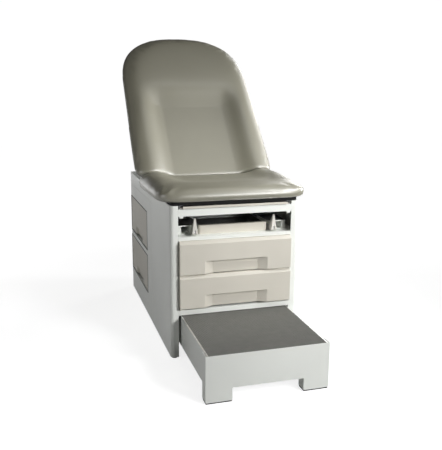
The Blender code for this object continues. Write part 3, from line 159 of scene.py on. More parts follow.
# %% [markdown]
# A highlight takes the shape of its lamp, so the lamps are areas and not points. The front
# one shows the drawers and the step, and the tall strip on the right draws the long
# highlight down the rim of the back. A small one lights the seat, and a long one hangs
# above. Three wide ones, behind and on the left, lift the sides that face away and give the
# vinyl its sheen. The spread is what a grid does on a studio lamp: it keeps the light on
# the pads and off the white side panel.

# %% Lamps
# For each lamp: its place, what it is aimed at, its size, its watts and its spread.
LAMPS = {
    "front": ((1.5, -3.0, 1.6), (0.0, -0.3, 0.35), (1.0, 0.8), 9.6, 60),
    "strip": ((2.4, 0.1, 1.7), (0.0, 0.1, 1.4), (0.5, 1.6), 13.5, 70),
    "near": ((1.0, -0.9, 1.7), (0.0, -0.1, 0.8), (0.4, 0.4), 4.0, 90),
    "above": ((0.65, -0.15, 3.1), (0.65, -0.1, 0.7), (1.6, 0.35), 4.0, 180),
    "behind": ((1.9, 2.0, 1.9), (0.2, 0.4, 1.0), (0.9, 1.4), 15.0, 180),
    "left": ((-2.7, -0.8, 1.3), (-0.2, 0.1, 0.5), (1.2, 1.2), 13.5, 180),
    "sheen": ((-1.6, 3.2, 0.9), (-0.2, 0.3, 0.6), (1.6, 1.4), 12.0, 180),
}
for name, (place, aim, size, watts, angle) in LAMPS.items():
    bpy.ops.object.light_add(type="AREA", location=place)
    light = added("lamp_" + name)
    light.data.shape = "RECTANGLE"
    light.data.size, light.data.size_y = size
    light.data.energy = watts
    light.data.spread = math.radians(angle)
    light.visible_camera = False
    towards = Vector(aim) - Vector(place)
    light.rotation_euler = towards.to_track_quat("-Z", "Y").to_euler()
print("lamps:", ", ".join(LAMPS))

# %% [markdown]
# Every finish is a Principled shader with noise behind its colour, roughness and bump. An
# image of each surface would also work, but noise keeps its scale on any piece and needs
# no unwrapping. The patterns read Object coordinates, so a millimetre on the table is a
# millimetre in the pattern, and one number sets its size.

# %% A helper that wires a finish
def finish_named(name):
    """A new material with its shader, and a way to add linked nodes to it."""
    made = bpy.data.materials.new(name)
    made.use_nodes = True
    tree = made.node_tree
    shader = tree.nodes["Principled BSDF"]
    place = tree.nodes.new("ShaderNodeTexCoord").outputs["Object"]

    def node(kind, inputs=None, **settings):
        new = tree.nodes.new("ShaderNode" + kind)
        for key, value in settings.items():
            setattr(new, key, value)
        for key, value in (inputs or {}).items():
            if isinstance(value, bpy.types.NodeSocket):
                tree.links.new(value, new.inputs[key])
            else:
                new.inputs[key].default_value = value
        return new

    def link(output, socket):
        tree.links.new(output, shader.inputs[socket])

    return made, shader, place, node, link


def stretched(node, place, scale):
    """Coordinates scaled along each axis, which draws a pattern out into fibres."""
    return node("Mapping", {"Vector": place, "Scale": scale}).outputs["Vector"]


def noise(node, vector, scale, detail, roughness=0.5):
    """A soft random grey. The scale is about the number of lumps in a metre."""
    inputs = {"Vector": vector, "Scale": scale, "Detail": detail, "Roughness": roughness}
    return node("TexNoise", inputs).outputs["Fac"]


def spread(node, value, low, high, start=0.3, stop=0.7):
    """Stretches a grey value from start and stop to low and high."""
    inputs = {"Value": value, "From Min": start, "From Max": stop}
    return node("MapRange", {**inputs, "To Min": low, "To Max": high}).outputs["Result"]


def between(node, share, first, second):
    """A mix of two colours."""
    mix = node("Mix", data_type="RGBA")
    for socket, value in (("Factor", share), ("A", first), ("B", second)):
        target = next(s for s in mix.inputs if s.name == socket and s.enabled)
        if isinstance(value, bpy.types.NodeSocket):
            mix.id_data.links.new(value, target)
        else:
            target.default_value = value
    return next(s for s in mix.outputs if s.enabled)


def bumped(node, height, depth, strength=1.0, under=None):
    """Relief from a grey value, laid over another relief where one is given."""
    inputs = {"Height": height, "Distance": depth, "Strength": strength}
    if under:
        inputs["Normal"] = under
    return node("Bump", inputs).outputs["Normal"]


def tinted(colour, factor=1.0):
    """A colour made darker or lighter, with its opacity."""
    return tuple(min(1.0, c * factor) for c in colour) + (1.0,)


def clouded(node, grey, colour, darkest, lightest):
    """A colour that goes from a darker to a lighter tint where a grey value rises."""
    return between(node, grey, tinted(colour, darkest), tinted(colour, lightest))


def settle(shader, values):
    """Sets the inputs of a shader that are the same all over a piece."""
    for socket, value in values.items():
        shader.inputs[socket].default_value = value


# %% [markdown]
# The casing is steel sheet under a baked powder coat. Plain glossy white would look like
# plastic. Powder melts to a skin with a faint orange peel, a lump every millimetre or so,
# so the finish has it as a bump. Broad noise shifts the white by a few percent, because no
# coat is perfectly even.

# %% Powder-coated sheet
def powder_coat(name, colour, roughness=0.36):
    made, shader, place, node, link = finish_named(name)
    cloud = spread(node, noise(node, place, scale=3.0, detail=2.0), 0, 1)
    link(clouded(node, cloud, colour, 0.965, 1.02), "Base Color")
    gloss = noise(node, place, scale=40.0, detail=4.0)
    link(spread(node, gloss, roughness - 0.04, roughness + 0.06), "Roughness")
    lumps = noise(node, place, scale=700.0, detail=2.0)
    peel = bumped(node, lumps, depth=0.0003, strength=0.22)
    waves = noise(node, place, scale=9.0, detail=1.0)
    link(bumped(node, waves, depth=0.004, strength=0.05, under=peel), "Normal")
    settle(shader, {"Coat Weight": 0.12, "Coat Roughness": 0.25})
    return made


WHITE_COAT = powder_coat("white_powder_coat", (0.88, 0.90, 0.855))
BLACK_COAT = powder_coat("black_powder_coat", (0.022, 0.022, 0.023), 0.42)
print("powder coats:", WHITE_COAT.name, BLACK_COAT.name)

# %% [markdown]
# The drawer fronts are moulded plastic in a warm beige, and the heel rests in an off-white.
# They could share the paint of the casing, but a mould gives its parts a fine texture, much
# finer than orange peel, and a softer gloss than paint.

# %% Moulded plastic
def moulded(name, colour, roughness=0.44):
    made, shader, place, node, link = finish_named(name)
    cloud = spread(node, noise(node, place, scale=4.0, detail=2.0), 0, 1)
    link(clouded(node, cloud, colour, 0.96, 1.025), "Base Color")
    gloss = noise(node, place, scale=60.0, detail=3.0)
    link(spread(node, gloss, roughness - 0.05, roughness + 0.05), "Roughness")
    sparks = noise(node, place, scale=1500.0, detail=2.0, roughness=0.6)
    link(bumped(node, sparks, depth=0.0002, strength=0.25), "Normal")
    settle(shader, {"Specular IOR Level": 0.42})
    return made


BEIGE_PLASTIC = moulded("beige_plastic", (0.676, 0.644, 0.566))
WHITE_PLASTIC = moulded("white_plastic", (0.72, 0.70, 0.64), 0.38)
print("plastics:", BEIGE_PLASTIC.name, WHITE_PLASTIC.name)

# %% [markdown]
# Clinic upholstery is vinyl with an embossed leather grain. An image of leather would
# repeat on so long a pad. Here the cells of a Voronoi texture, about a millimetre across,
# make the pebbles, and a second, larger noise bends them so that no row shows. Low, wide
# noise adds the slow rise and fall of foam under the skin. A second, rather rough coat on
# top gives the broad shine of a surface that is wiped down every day.

# %% Grained vinyl
PEBBLES_PER_METRE = 620.0
PEBBLE_BEND = 0.006
GREY = (0.5, 0.5, 0.5)


def grained_vinyl(name, colour, roughness):
    made, shader, place, node, link = finish_named(name)
    drift = node("TexNoise", {"Vector": place, "Scale": 45.0, "Detail": 2.0}).outputs["Color"]
    bent = node("VectorMath", {0: drift, 1: GREY}, operation="SUBTRACT").outputs[0]
    bent = node("VectorMath", {0: bent, "Scale": PEBBLE_BEND}, operation="SCALE").outputs[0]
    bent = node("VectorMath", {0: place, 1: bent}, operation="ADD").outputs[0]
    inputs = {"Vector": bent, "Scale": PEBBLES_PER_METRE}
    cells = node("TexVoronoi", inputs, feature="DISTANCE_TO_EDGE").outputs[0]
    pebble = spread(node, cells, 0.0, 1.0, start=0.0, stop=0.16)
    cloud = spread(node, noise(node, place, scale=5.0, detail=3.0), 0, 1)
    base = clouded(node, cloud, colour, 0.94, 1.05)
    # The valleys between the pebbles are a fifth darker: painted shade in the grain.
    link(between(node, pebble, tinted(colour, 0.80), base), "Base Color")
    wiped = noise(node, place, scale=14.0, detail=4.0)
    link(spread(node, wiped, roughness - 0.05, roughness + 0.08), "Roughness")
    grain = bumped(node, pebble, depth=0.00012, strength=0.30)
    foam = noise(node, place, scale=16.0, detail=2.0)
    link(bumped(node, foam, depth=0.004, strength=0.10, under=grain), "Normal")
    settle(shader, {"Specular IOR Level": 1.0, "Coat Weight": 1.0})
    settle(shader, {"Coat IOR": 1.80, "Coat Roughness": 0.42})
    return made


TAUPE_VINYL = grained_vinyl("taupe_vinyl_skin", (0.274, 0.262, 0.195), 0.42)
# The welt's vinyl is darker than the cover: painted shade of the seam's crease.
SEAM_VINYL_SHADED = grained_vinyl("taupe_vinyl_seam_painted_shade", (0.150, 0.143, 0.105), 0.50)
print("vinyl:", TAUPE_VINYL.name, SEAM_VINYL_SHADED.name)

# %% [markdown]
# There are four metals: zinc plate on runners and brackets, which shows faint spangles,
# stainless steel on the handle, aluminium on the edge trims, and the steel of the pan, whose
# dark, dull colour is painted shade of the recess it sits in.
# Plain grey metal would mirror the studio like chrome. Spangles are the cells of a Voronoi
# texture, and brushing is noise drawn out along one axis, so both break the mirror up.

# %% Metals
BRUSHING = (1400.0, 12.0, 1400.0)


def plated(name, colour, roughness):
    made, shader, place, node, link = finish_named(name)
    spangle = node("TexVoronoi", {"Vector": place, "Scale": 70.0}).outputs["Color"]
    patch = spread(node, spangle, 0, 1, start=0, stop=1)
    link(clouded(node, patch, colour, 0.90, 1.05), "Base Color")
    gloss = noise(node, place, scale=90.0, detail=4.0)
    link(spread(node, gloss, roughness - 0.07, roughness + 0.10), "Roughness")
    pores = noise(node, place, scale=500.0, detail=3.0)
    link(bumped(node, pores, depth=0.0002, strength=0.15), "Normal")
    settle(shader, {"Metallic": 1.0})
    return made


def brushed(name, colour, roughness):
    made, shader, place, node, link = finish_named(name)
    drawn = stretched(node, place, BRUSHING)
    lines = noise(node, drawn, scale=1.0, detail=3.0, roughness=0.6)
    link(clouded(node, lines, colour, 0.90, 1.04), "Base Color")
    link(spread(node, lines, roughness - 0.06, roughness + 0.12), "Roughness")
    link(bumped(node, lines, depth=0.0001, strength=0.25), "Normal")
    settle(shader, {"Metallic": 1.0})
    return made


ZINC = plated("zinc_plate", (0.60, 0.61, 0.62), 0.34)
STAINLESS = brushed("brushed_stainless", (0.66, 0.665, 0.67), 0.24)
# The pan's steel is darkened: painted shade of the recess it sits in.
PAN_STEEL_SHADED = brushed("pan_steel_painted_shade", (0.30, 0.30, 0.295), 0.42)
ALUMINIUM = brushed("brushed_aluminium", (0.82, 0.82, 0.80), 0.28)
print("metals:", ZINC.name, STAINLESS.name, PAN_STEEL_SHADED.name, ALUMINIUM.name)

# %% [markdown]
# Dark pieces have texture too. The boards under the pads are painted plywood, whose grain
# is noise drawn out along the board. The feet are rubber with a dusty bloom, and the tread
# is a grey mat of the same kind. Plain black would look like a hole in the picture.

# %% Boards, rubber and tread
PLYWOOD_GRAIN = (10.0, 240.0, 240.0)


def painted_board(name, colour):
    made, shader, place, node, link = finish_named(name)
    drawn = stretched(node, place, PLYWOOD_GRAIN)
    fibres = noise(node, drawn, scale=1.0, detail=4.0, roughness=0.65)
    link(clouded(node, fibres, colour, 0.6, 1.7), "Base Color")
    link(spread(node, fibres, 0.48, 0.66), "Roughness")
    link(bumped(node, fibres, depth=0.0004, strength=0.30), "Normal")
    settle(shader, {"Specular IOR Level": 0.20})
    return made


def rubber(name, colour, bloom):
    made, _, place, node, link = finish_named(name)
    dust = noise(node, place, scale=30.0, detail=5.0, roughness=0.6)
    dusty = spread(node, dust, 0, 1)
    link(between(node, dusty, tinted(colour), tinted(bloom)), "Base Color")
    link(spread(node, dust, 0.66, 0.85), "Roughness")
    pores = noise(node, place, scale=900.0, detail=2.0)
    link(bumped(node, pores, depth=0.0003, strength=0.30), "Normal")
    return made


BLACK_BOARD = painted_board("black_board_paint", (0.006, 0.006, 0.006))
DARK_RUBBER = rubber("black_rubber", (0.022, 0.022, 0.022), (0.045, 0.043, 0.040))
TREAD_MAT = rubber("grey_tread_mat", (0.200, 0.200, 0.183), (0.242, 0.240, 0.222))
print("dark finishes:", BLACK_BOARD.name, DARK_RUBBER.name, TREAD_MAT.name)

# %% [markdown]
# The solids already carry a material slot each. Putting the new finish in that slot keeps
# the solid's mesh as it is, and a table from slot to finish dresses all sixty in one loop.
# A few pieces differ from their slot. The sheet metal deep inside is black, as painted
# shade: it makes the recess behind the stirrups read as the dark gap that shade makes
# there. The pan's darker, duller steel is painted shade of that recess too.

# %% Dress the solids
FINISH_OF_SLOT = {
    "white_paint": WHITE_COAT,
    "black_paint": BLACK_COAT,
    "beige_moulding": BEIGE_PLASTIC,
    "taupe_vinyl": TAUPE_VINYL,
    "black_board": BLACK_BOARD,
    "zinc_steel": ZINC,
    "stainless": STAINLESS,
    "aluminium_trim": ALUMINIUM,
    "dark_rubber": DARK_RUBBER,
    "tread_rubber": TREAD_MAT,
}
FINISH_OF_NODE = {
    "heel_rest_left": WHITE_PLASTIC,
    "heel_rest_right": WHITE_PLASTIC,
    # Black on these three and dark steel on the pan: painted shade of the recess.
    "mid_bulkhead": BLACK_COAT,
    "hinge_rail": BLACK_COAT,
    "rear_deck": BLACK_COAT,
    "treatment_pan": PAN_STEEL_SHADED,
}
for name, node in frame["nodes"].items():
    for material_slot in node.material_slots:
        base_name = material_slot.material.name.split(".")[0]
        material_slot.material = FINISH_OF_NODE.get(name, FINISH_OF_SLOT[base_name])
print(len(frame["nodes"]), "solids dressed")

# %% [markdown]
# The back section is shown raised. What lies on it could be shaped in the room's own axes,
# but a dish along a slope is easier to say in the slope's axes: x across, s up the slope
# and n off the board. The joint stands at the hinge, and its lower limit is the back lying
# flat, so the tilt is read from there and isn't typed.

# %% Where the back turns
BACK_JOINT = next(joint for joint in frame["joints"] if joint["name"] == "back_tilt")
BACK_TILT = math.radians(-BACK_JOINT["range_deg"][0])
BACK_PLACE = Matrix.Translation(BACK_JOINT["pos_m"]) @ Matrix.Rotation(BACK_TILT, 4, "X")
print("the back stands at", round(math.degrees(BACK_TILT)), "degrees")


# %% [markdown]
# An operator acts on whatever is selected, and its modifiers wait until they are applied.
# Each step could take care of this by itself, but a missed line would then shape the wrong
# piece. So one helper selects, one applies a modifier at once, and one dresses a piece when
# it is finished. The pads have thousands of points, which are moved together as an array.

# %% Helpers that choose and finish objects
def choose(obj):
    """Selects one object and makes it the active one."""
    deselect_all()
    obj.select_set(True)
    bpy.context.view_layer.objects.active = obj


def apply_modifier(obj, kind, **settings):
    """Adds one modifier, sets it and applies it at once."""
    choose(obj)
    modifier = obj.modifiers.new(kind.lower(), kind)
    for key, value in settings.items():
        setattr(modifier, key, value)
    bpy.ops.object.modifier_apply(modifier=modifier.name)
    return obj


def edit_all(obj):
    """Opens a piece in edit mode, with all of it selected."""
    choose(obj)
    bpy.ops.object.mode_set(mode="EDIT")
    bpy.ops.mesh.select_all(action="SELECT")


def leave_edit():
    """Closes edit mode, which writes the edits to the mesh."""
    bpy.ops.object.mode_set(mode="OBJECT")


def points_of(obj):
    """The points of a piece, a row of x, y and z for each."""
    points = np.empty(3 * len(obj.data.vertices))
    obj.data.vertices.foreach_get("co", points)
    return points.reshape(-1, 3)


def set_points(obj, points):
    obj.data.vertices.foreach_set("co", np.asarray(points, np.float32).ravel())
    obj.data.update()


def dress(obj, finish, body):
    """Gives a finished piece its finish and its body."""
    obj.data.materials.clear()
    obj.data.materials.append(finish)
    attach(obj, body)


def part_way(value, low, high):
    """How far a value has come from low to high, as a share of 0 to 1."""
    return np.clip((value - low) / (high - low), 0.0, 1.0)


def smooth_step(value, low, high):
    """The same, but it starts and ends gently."""
    share = part_way(value, low, high)
    return share * share * (3 - 2 * share)


# %% [markdown]
# The pads are what a patient touches. A foam block could be drawn as a box with a soft
# bevel, but real upholstery is never that even. Each pad starts as a copy of its solid,
# which already has the rounded shoulders and the dished middle. Subdivision smooths it, and
# a voxel remesh cuts it into small even squares, because cloth needs squares to stretch.
# Smoothing shrinks it a little, so it is then fitted to the size of its solid again.

# %% A solid becomes a soft skin
QUAD_ANGLE = math.radians(60)
MERGE_WITHIN = 0.00002
SKIN_SMOOTHING = 5


def skin_of(node_name, name, voxel):
    """A smooth copy of a pad's solid, in small even squares."""
    obj = bpy.data.objects.new(name, frame["nodes"][node_name].data.copy())
    bpy.context.scene.collection.objects.link(obj)
    obj.data.name = name
    edit_all(obj)
    bpy.ops.mesh.remove_doubles(threshold=MERGE_WITHIN)
    bpy.ops.mesh.tris_convert_to_quads(face_threshold=QUAD_ANGLE, shape_threshold=QUAD_ANGLE)
    leave_edit()
    apply_modifier(obj, "SUBSURF", levels=2, render_levels=2)
    apply_modifier(obj, "REMESH", mode="VOXEL", voxel_size=voxel)
    return apply_modifier(obj, "SMOOTH", factor=0.5, iterations=SKIN_SMOOTHING)


def placed(obj, place):
    """The points of a piece, measured in the frame of a place."""
    points = points_of(obj)
    return (np.array(place) @ np.c_[points, np.ones(len(points))].T).T[:, :3]


def fitted(obj, node_name, place=Matrix.Identity(4)):
    """Stretches a skin, along a place's own axes, to the size of its solid."""
    back = place.inverted()
    want = placed(frame["nodes"][node_name], back)
    have = placed(obj, back)
    low, high = want.min(0), want.max(0)
    share = (have - have.min(0)) / (have.max(0) - have.min(0))
    set_points(obj, low + share * (high - low))
    set_points(obj, placed(obj, place))


# %% [markdown]
# Foam pushes a tight skin out between its edges. Inflating the pad by moving each point
# along its normal would swell the edges too. Here the skin is cloth for a few frames, with
# air pressing from inside, so it bulges where it is free. The foot is held, the movement is
# capped, and a light smoothing calms the small ripples that cloth leaves.

# %% Air under the skin
CLOTH_FRAMES = 20
AIR_PRESSURE = 4.0
CALMING = 8


def puff(obj, held, cap):
    """Presses the skin outwards for a few frames, and moves no point further than cap."""
    before = points_of(obj)
    group = obj.vertex_groups.new(name="held")
    group.add([int(i) for i in np.flatnonzero(held)], 1.0, "REPLACE")
    cloth = obj.modifiers.new("air", "CLOTH")
    cloth.settings.use_pressure = True
    cloth.settings.uniform_pressure_force = AIR_PRESSURE
    cloth.settings.vertex_group_mass = group.name
    cloth.settings.effector_weights.gravity = 0.0
    cloth.collision_settings.use_collision = False
    for number in range(1, CLOTH_FRAMES + 1):
        bpy.context.scene.frame_set(number)
    soft = obj.evaluated_get(bpy.context.evaluated_depsgraph_get())
    after = np.empty(before.size)
    soft.data.vertices.foreach_get("co", after)
    moved = after.reshape(-1, 3) - before
    length = np.linalg.norm(moved, axis=1)
    share = np.minimum(1.0, cap / np.maximum(length, 1e-9))
    obj.modifiers.remove(cloth)
    obj.vertex_groups.remove(group)
    set_points(obj, before + moved * share[:, None])
    bpy.context.scene.frame_set(1)
    apply_modifier(obj, "SMOOTH", factor=0.5, iterations=CALMING)
    print(obj.name, "moved up to", round(1000 * float((length * share).max()), 1), "mm")


# %% [markdown]
# A welt is the thin roll of vinyl where the top cover meets the band round the foot. Its
# vinyl is darker than the cover: the welt is real, and its darkness is painted shade of the
# seam's crease. A tube could follow a route that is typed in, but the route would miss the
# skin here and there. So a plane cuts a copy of the pad, and the line it leaves becomes the
# middle of the welt. Three more helpers serve both pads: the firm part, a squared end and
# the vinyl cover.

# %% Welt and cover
SEAM_RADIUS = 0.0013


def seam_on(pad, name, point, normal):
    """A thin welt where a plane cuts the pad's skin."""
    obj = bpy.data.objects.new(name, pad.data.copy())
    bpy.context.scene.collection.objects.link(obj)
    edit_all(obj)
    cut = {"plane_co": point, "plane_no": normal, "clear_inner": True, "clear_outer": True}
    bpy.ops.mesh.bisect(**cut)
    leave_edit()
    choose(obj)
    bpy.ops.object.convert(target="CURVE")
    obj = bpy.context.active_object
    obj.data.bevel_depth = SEAM_RADIUS
    obj.data.bevel_resolution = 2
    bpy.ops.object.convert(target="MESH")
    return added(name)


def firm_part(height, foot, thick, limits):
    """0 at the foot of a pad and 1 at its top, so that shaping leaves the foot alone."""
    return smooth_step(height, foot + limits[0] * thick, foot + limits[1] * thick)


def squared_end(points, firm, from_end, kept, reach):
    """Draws the top of a pad towards its end, and keeps a share of the end's roundness."""
    pull = (1 - kept) * (1 - smooth_step(from_end, 0.0, reach))
    points[:, 1] -= firm * pull * from_end


def covered(pad, seam_name, point, normal, body):
    """Smooths a shaped pad, runs a welt round its foot and dresses both in vinyl."""
    apply_modifier(pad, "SUBSURF", levels=1, render_levels=1)
    choose(pad)
    bpy.ops.object.shade_smooth()
    seam = seam_on(pad, seam_name, point, normal)
    dress(pad, TAUPE_VINYL, body)
    dress(seam, SEAM_VINYL_SHADED, body)


# %% [markdown]
# The seat pad has an upright band round its foot, and its top is dished between two side
# bolsters that end at the hinge. The bolsters could be cushions of their own, but on the
# real pad one skin runs over them, so they are raised from the same skin. Air would also
# fill the dish, so its cap is small. The front roll comes out too round, and is squared.

# %% Seat pad
SEAT_SQUARES = 0.0065
SEAT_CAP = 0.006
HELD_FOOT = 0.004
SEAT_FIRM = (0.30, 0.90)
BOLSTER_RISE = 0.007
BOLSTER_SIDES = (0.20, 0.29)
BOLSTER_FRONT = (0.12, 0.34)
ROLL_KEPT = 0.50
ROLL_REACH = 0.09
SEAT_SEAM_LIFT = 0.006
SEAT_SEAM_TILT = 0.050

seat_low, seat_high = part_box("seat_cushion")
SEAT_THICK = seat_high.z - seat_low.z
seat_pad = skin_of("seat_cushion", "seat_pad", SEAT_SQUARES)
foot = points_of(seat_pad)[:, 2] < seat_low.z + HELD_FOOT
puff(seat_pad, foot, SEAT_CAP)
fitted(seat_pad, "seat_cushion")
points = points_of(seat_pad)
top = firm_part(points[:, 2], seat_low.z, SEAT_THICK, SEAT_FIRM)
from_front = points[:, 1] - seat_low.y
rise = smooth_step(abs(points[:, 0]), *BOLSTER_SIDES) * smooth_step(from_front, *BOLSTER_FRONT)
points[:, 2] += BOLSTER_RISE * top * rise
squared_end(points, top, from_front, ROLL_KEPT, ROLL_REACH)
set_points(seat_pad, points)
seam_at = (0.0, seat_low.y, seat_low.z + SEAT_SEAM_LIFT)
covered(seat_pad, "seat_seam", seam_at, (0.0, -SEAT_SEAM_TILT, 1.0), "cabinet")
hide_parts("seat_cushion")
print("seat pad:", len(seat_pad.data.polygons), "faces")

# %% [markdown]
# The back pad is the same kind of pad, twice as long, with a rounded head. A long dish lies
# between two bolsters, which meet above it in a crest. The dish could be cut with a second
# shape, but a cut would leave an edge. So each point is lowered or raised by formulas that
# fade to nothing: deepest in the middle of the dish, highest along the crest. The pad also
# stands a little over its board, by less than one percent.

# %% Back pad
BACK_SQUARES = 0.0075
BACK_CAP = 0.007
BACK_FIRM = (0.3, 0.8)
FOOT_KEPT = 0.45
FOOT_REACH = 0.12
PLUMP_ACROSS = 1.008
PLUMP_ALONG = 1.006
DISH_SIDES = (0.170, 0.275)
DISH_HEAD = (0.47, 0.60)
DISH_DEPTH = 0.018
CREST_AT, CREST_HALF = 0.285, 0.045
CREST_RISE = 0.004
CREST_FADE = 0.06
BACK_SEAM_LIFT = 0.027

back_pad = skin_of("back_cushion", "back_pad", BACK_SQUARES)
off_board = placed(back_pad, BACK_PLACE.inverted())[:, 2]
back_foot = off_board.min()
BACK_THICK = off_board.max() - back_foot
puff(back_pad, off_board < back_foot + HELD_FOOT, BACK_CAP)
fitted(back_pad, "back_cushion", BACK_PLACE)
points = placed(back_pad, BACK_PLACE.inverted())
points[:, 0] *= PLUMP_ACROSS
from_foot = (points[:, 1] - points[:, 1].min()) * PLUMP_ALONG
points[:, 1] = points[:, 1].min() + from_foot
firm = firm_part(points[:, 2], back_foot, BACK_THICK, BACK_FIRM)
squared_end(points, firm, from_foot, FOOT_KEPT, FOOT_REACH)
beside = part_way(abs(points[:, 0]), *DISH_SIDES)
above = part_way(points[:, 1], *DISH_HEAD)
panel = 1 - np.sin(math.pi / 2 * np.clip(np.hypot(beside, above), 0.0, 1.0))
crest = np.exp(-(((abs(points[:, 0]) - CREST_AT) / CREST_HALF) ** 2))
crest *= 1 - smooth_step(points[:, 1], DISH_HEAD[0] - CREST_FADE, DISH_HEAD[1])
points[:, 2] += firm * (CREST_RISE * crest - DISH_DEPTH * panel)
set_points(back_pad, points)
set_points(back_pad, placed(back_pad, BACK_PLACE))
seam_at = BACK_PLACE @ Vector((0.0, 0.0, back_foot + BACK_SEAM_LIFT))
off_slope = BACK_PLACE.to_3x3() @ Vector((0.0, 0.0, 1.0))
covered(back_pad, "back_seam", seam_at, off_slope, "back")
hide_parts("back_cushion")
print("back pad:", len(back_pad.data.polygons), "faces")

# %% [markdown]
# The pull-out extension has a thin pad on its tray, which lies under the seat when it is
# pushed in. It could be inflated too, but a pad this thin hardly bulges. So it starts as a
# cube cut into squares: its rim is lowered and drawn in, and subdivision rounds the rest.

# %% Extension pad
EXTENSION_CUTS = 15
CROWN_POWER = 6
CROWN_RISE = 0.0022
RIM_EASE = 0.012

low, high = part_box("extension_pad")
deselect_all()
bpy.ops.mesh.primitive_cube_add(size=1.0)
extension_pad = added("extension_cushion")
middle, size = (low + high) / 2, high - low
edit_all(extension_pad)
bpy.ops.mesh.subdivide(number_cuts=EXTENSION_CUTS)
leave_edit()
points = points_of(extension_pad)
crown = (1 - (2 * points[:, 0]) ** CROWN_POWER) * (1 - (2 * points[:, 1]) ** CROWN_POWER)
edge = 1 - RIM_EASE * (1 - crown) * (2 * points[:, 2]) ** 2
wide, deep, thick = size
points = np.c_[points[:, 0] * edge * wide, points[:, 1] * edge * deep, points[:, 2] * thick]
points[:, 2] += np.where(points[:, 2] > 0, crown - 1, 0) * CROWN_RISE
set_points(extension_pad, points + np.array(middle))
apply_modifier(extension_pad, "SUBSURF", levels=2, render_levels=2)
choose(extension_pad)
bpy.ops.object.shade_smooth()
dress(extension_pad, TAUPE_VINYL, "extension")
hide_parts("extension_pad")
print("extension pad:", [round(1000 * v, 1) for v in size], "mm")

# %% [markdown]
# Small hardware tells the eye how big a thing is. Each kind is modelled once at the world's
# centre, standing on the floor plane, and then copied to where it belongs with a matrix.
# A shared mesh would be lighter, but each copy gets its own, so that it can be exported.

# %% Helpers for small hardware
SMOOTH_ANGLE = math.radians(35)


def select_parts(obj, mode, test):
    """In edit mode, selects the faces, edges or vertices that pass a test."""
    bpy.ops.mesh.select_mode(type=mode)
    bpy.ops.mesh.select_all(action="DESELECT")
    sheet = bmesh.from_edit_mesh(obj.data)
    parts = {"FACE": sheet.faces, "EDGE": sheet.edges, "VERT": sheet.verts}[mode]
    for part in parts:
        part.select_set(bool(test(part)))
    bmesh.update_edit_mesh(obj.data)


def smoothed(obj):
    """Smooth shading that keeps the sharp edges sharp."""
    choose(obj)
    bpy.ops.object.shade_smooth_by_angle(angle=SMOOTH_ANGLE)
    return obj


def facing(point, normal, turn=0.0):
    """A place at a point, whose Z looks along a normal."""
    swing = Vector(normal).to_track_quat("Z", "Y").to_matrix().to_4x4()
    return Matrix.Translation(point) @ swing @ Matrix.Rotation(turn, 4, "Z")


def spread_copies(master, places, body, finish):
    """Copies a finished piece to each place, and removes the first one."""
    name = master.name
    for number, place in enumerate(places, 1):
        obj = bpy.data.objects.new(f"{name}_{number:02d}", master.data.copy())
        obj.data.name = obj.name
        bpy.context.scene.collection.objects.link(obj)
        obj.data.transform(place)
        dress(obj, finish, body)
    bpy.data.objects.remove(master)
    print(name, "x", len(places), "with", len(obj.data.polygons), "faces each")


# %% [markdown]
# Two kinds of piece come up again and again. A turned piece, such as a collar or a grip, is
# round about one axis: boxes and cylinders could be joined for it, but on a lathe it is one
# profile, and spinning a profile does the same. A socket screw is a cylinder whose top edge
# is bevelled to a dome, and a six-sided hole is cut into it, which is what the eye looks for.

# %% Turned pieces and screws
TURNING_STEPS = 28
DOME = 0.45
SOCKET = 0.5


def turned(name, profile):
    """Spins a profile of (radius, height) points round Z into a closed solid."""
    deselect_all()
    bpy.ops.mesh.primitive_plane_add(size=1.0)
    obj = added(name)
    edit_all(obj)
    bpy.ops.mesh.select_mode(type="VERT")
    bpy.ops.mesh.select_all(action="SELECT")
    bpy.ops.mesh.merge(type="CENTER")
    bpy.ops.mesh.select_all(action="SELECT")
    first = profile[0]
    bpy.ops.transform.translate(value=(first[0], 0, first[1]))
    for before, after in zip(profile, profile[1:]):
        step = (after[0] - before[0], 0, after[1] - before[1])
        bpy.ops.mesh.extrude_region_move(TRANSFORM_OT_translate={"value": step})
    bpy.ops.mesh.select_all(action="SELECT")
    bpy.ops.mesh.spin(steps=TURNING_STEPS, angle=2 * math.pi, center=(0, 0, 0), axis=(0, 0, 1))
    bpy.ops.mesh.select_all(action="SELECT")
    bpy.ops.mesh.remove_doubles(threshold=0.00001)
    bpy.ops.mesh.normals_make_consistent(inside=False)
    leave_edit()
    return smoothed(obj)


def socket_screw(name, radius, height):
    """A domed head, with a six-sided socket cut in its top."""
    deselect_all()
    lift = (0, 0, height / 2)
    bpy.ops.mesh.primitive_cylinder_add(vertices=24, radius=radius, depth=height, location=lift)
    head = added(name)
    bpy.ops.object.transform_apply(location=True, rotation=False, scale=False)
    edit_all(head)
    select_parts(head, "EDGE", lambda edge: min(v.co.z for v in edge.verts) > 0.9 * height)
    bpy.ops.mesh.bevel(offset=DOME * height, segments=3, affect="EDGES")
    leave_edit()
    hole = {"radius": SOCKET * radius, "depth": height, "location": (0, 0, height)}
    bpy.ops.mesh.primitive_cylinder_add(vertices=6, **hole)
    socket = added("socket")
    apply_modifier(head, "BOOLEAN", operation="DIFFERENCE", object=socket)
    bpy.data.objects.remove(socket)
    return smoothed(head)


# %% [markdown]
# The rear panel and the step's edge trims are screwed on. Their heads are button heads a
# few millimetres across: small enough to miss, and odd when they are not there. They could
# be part of the sheet, but a screw is a piece of its own. Each one stops at its own angle,
# because nobody lines up the sockets by hand.

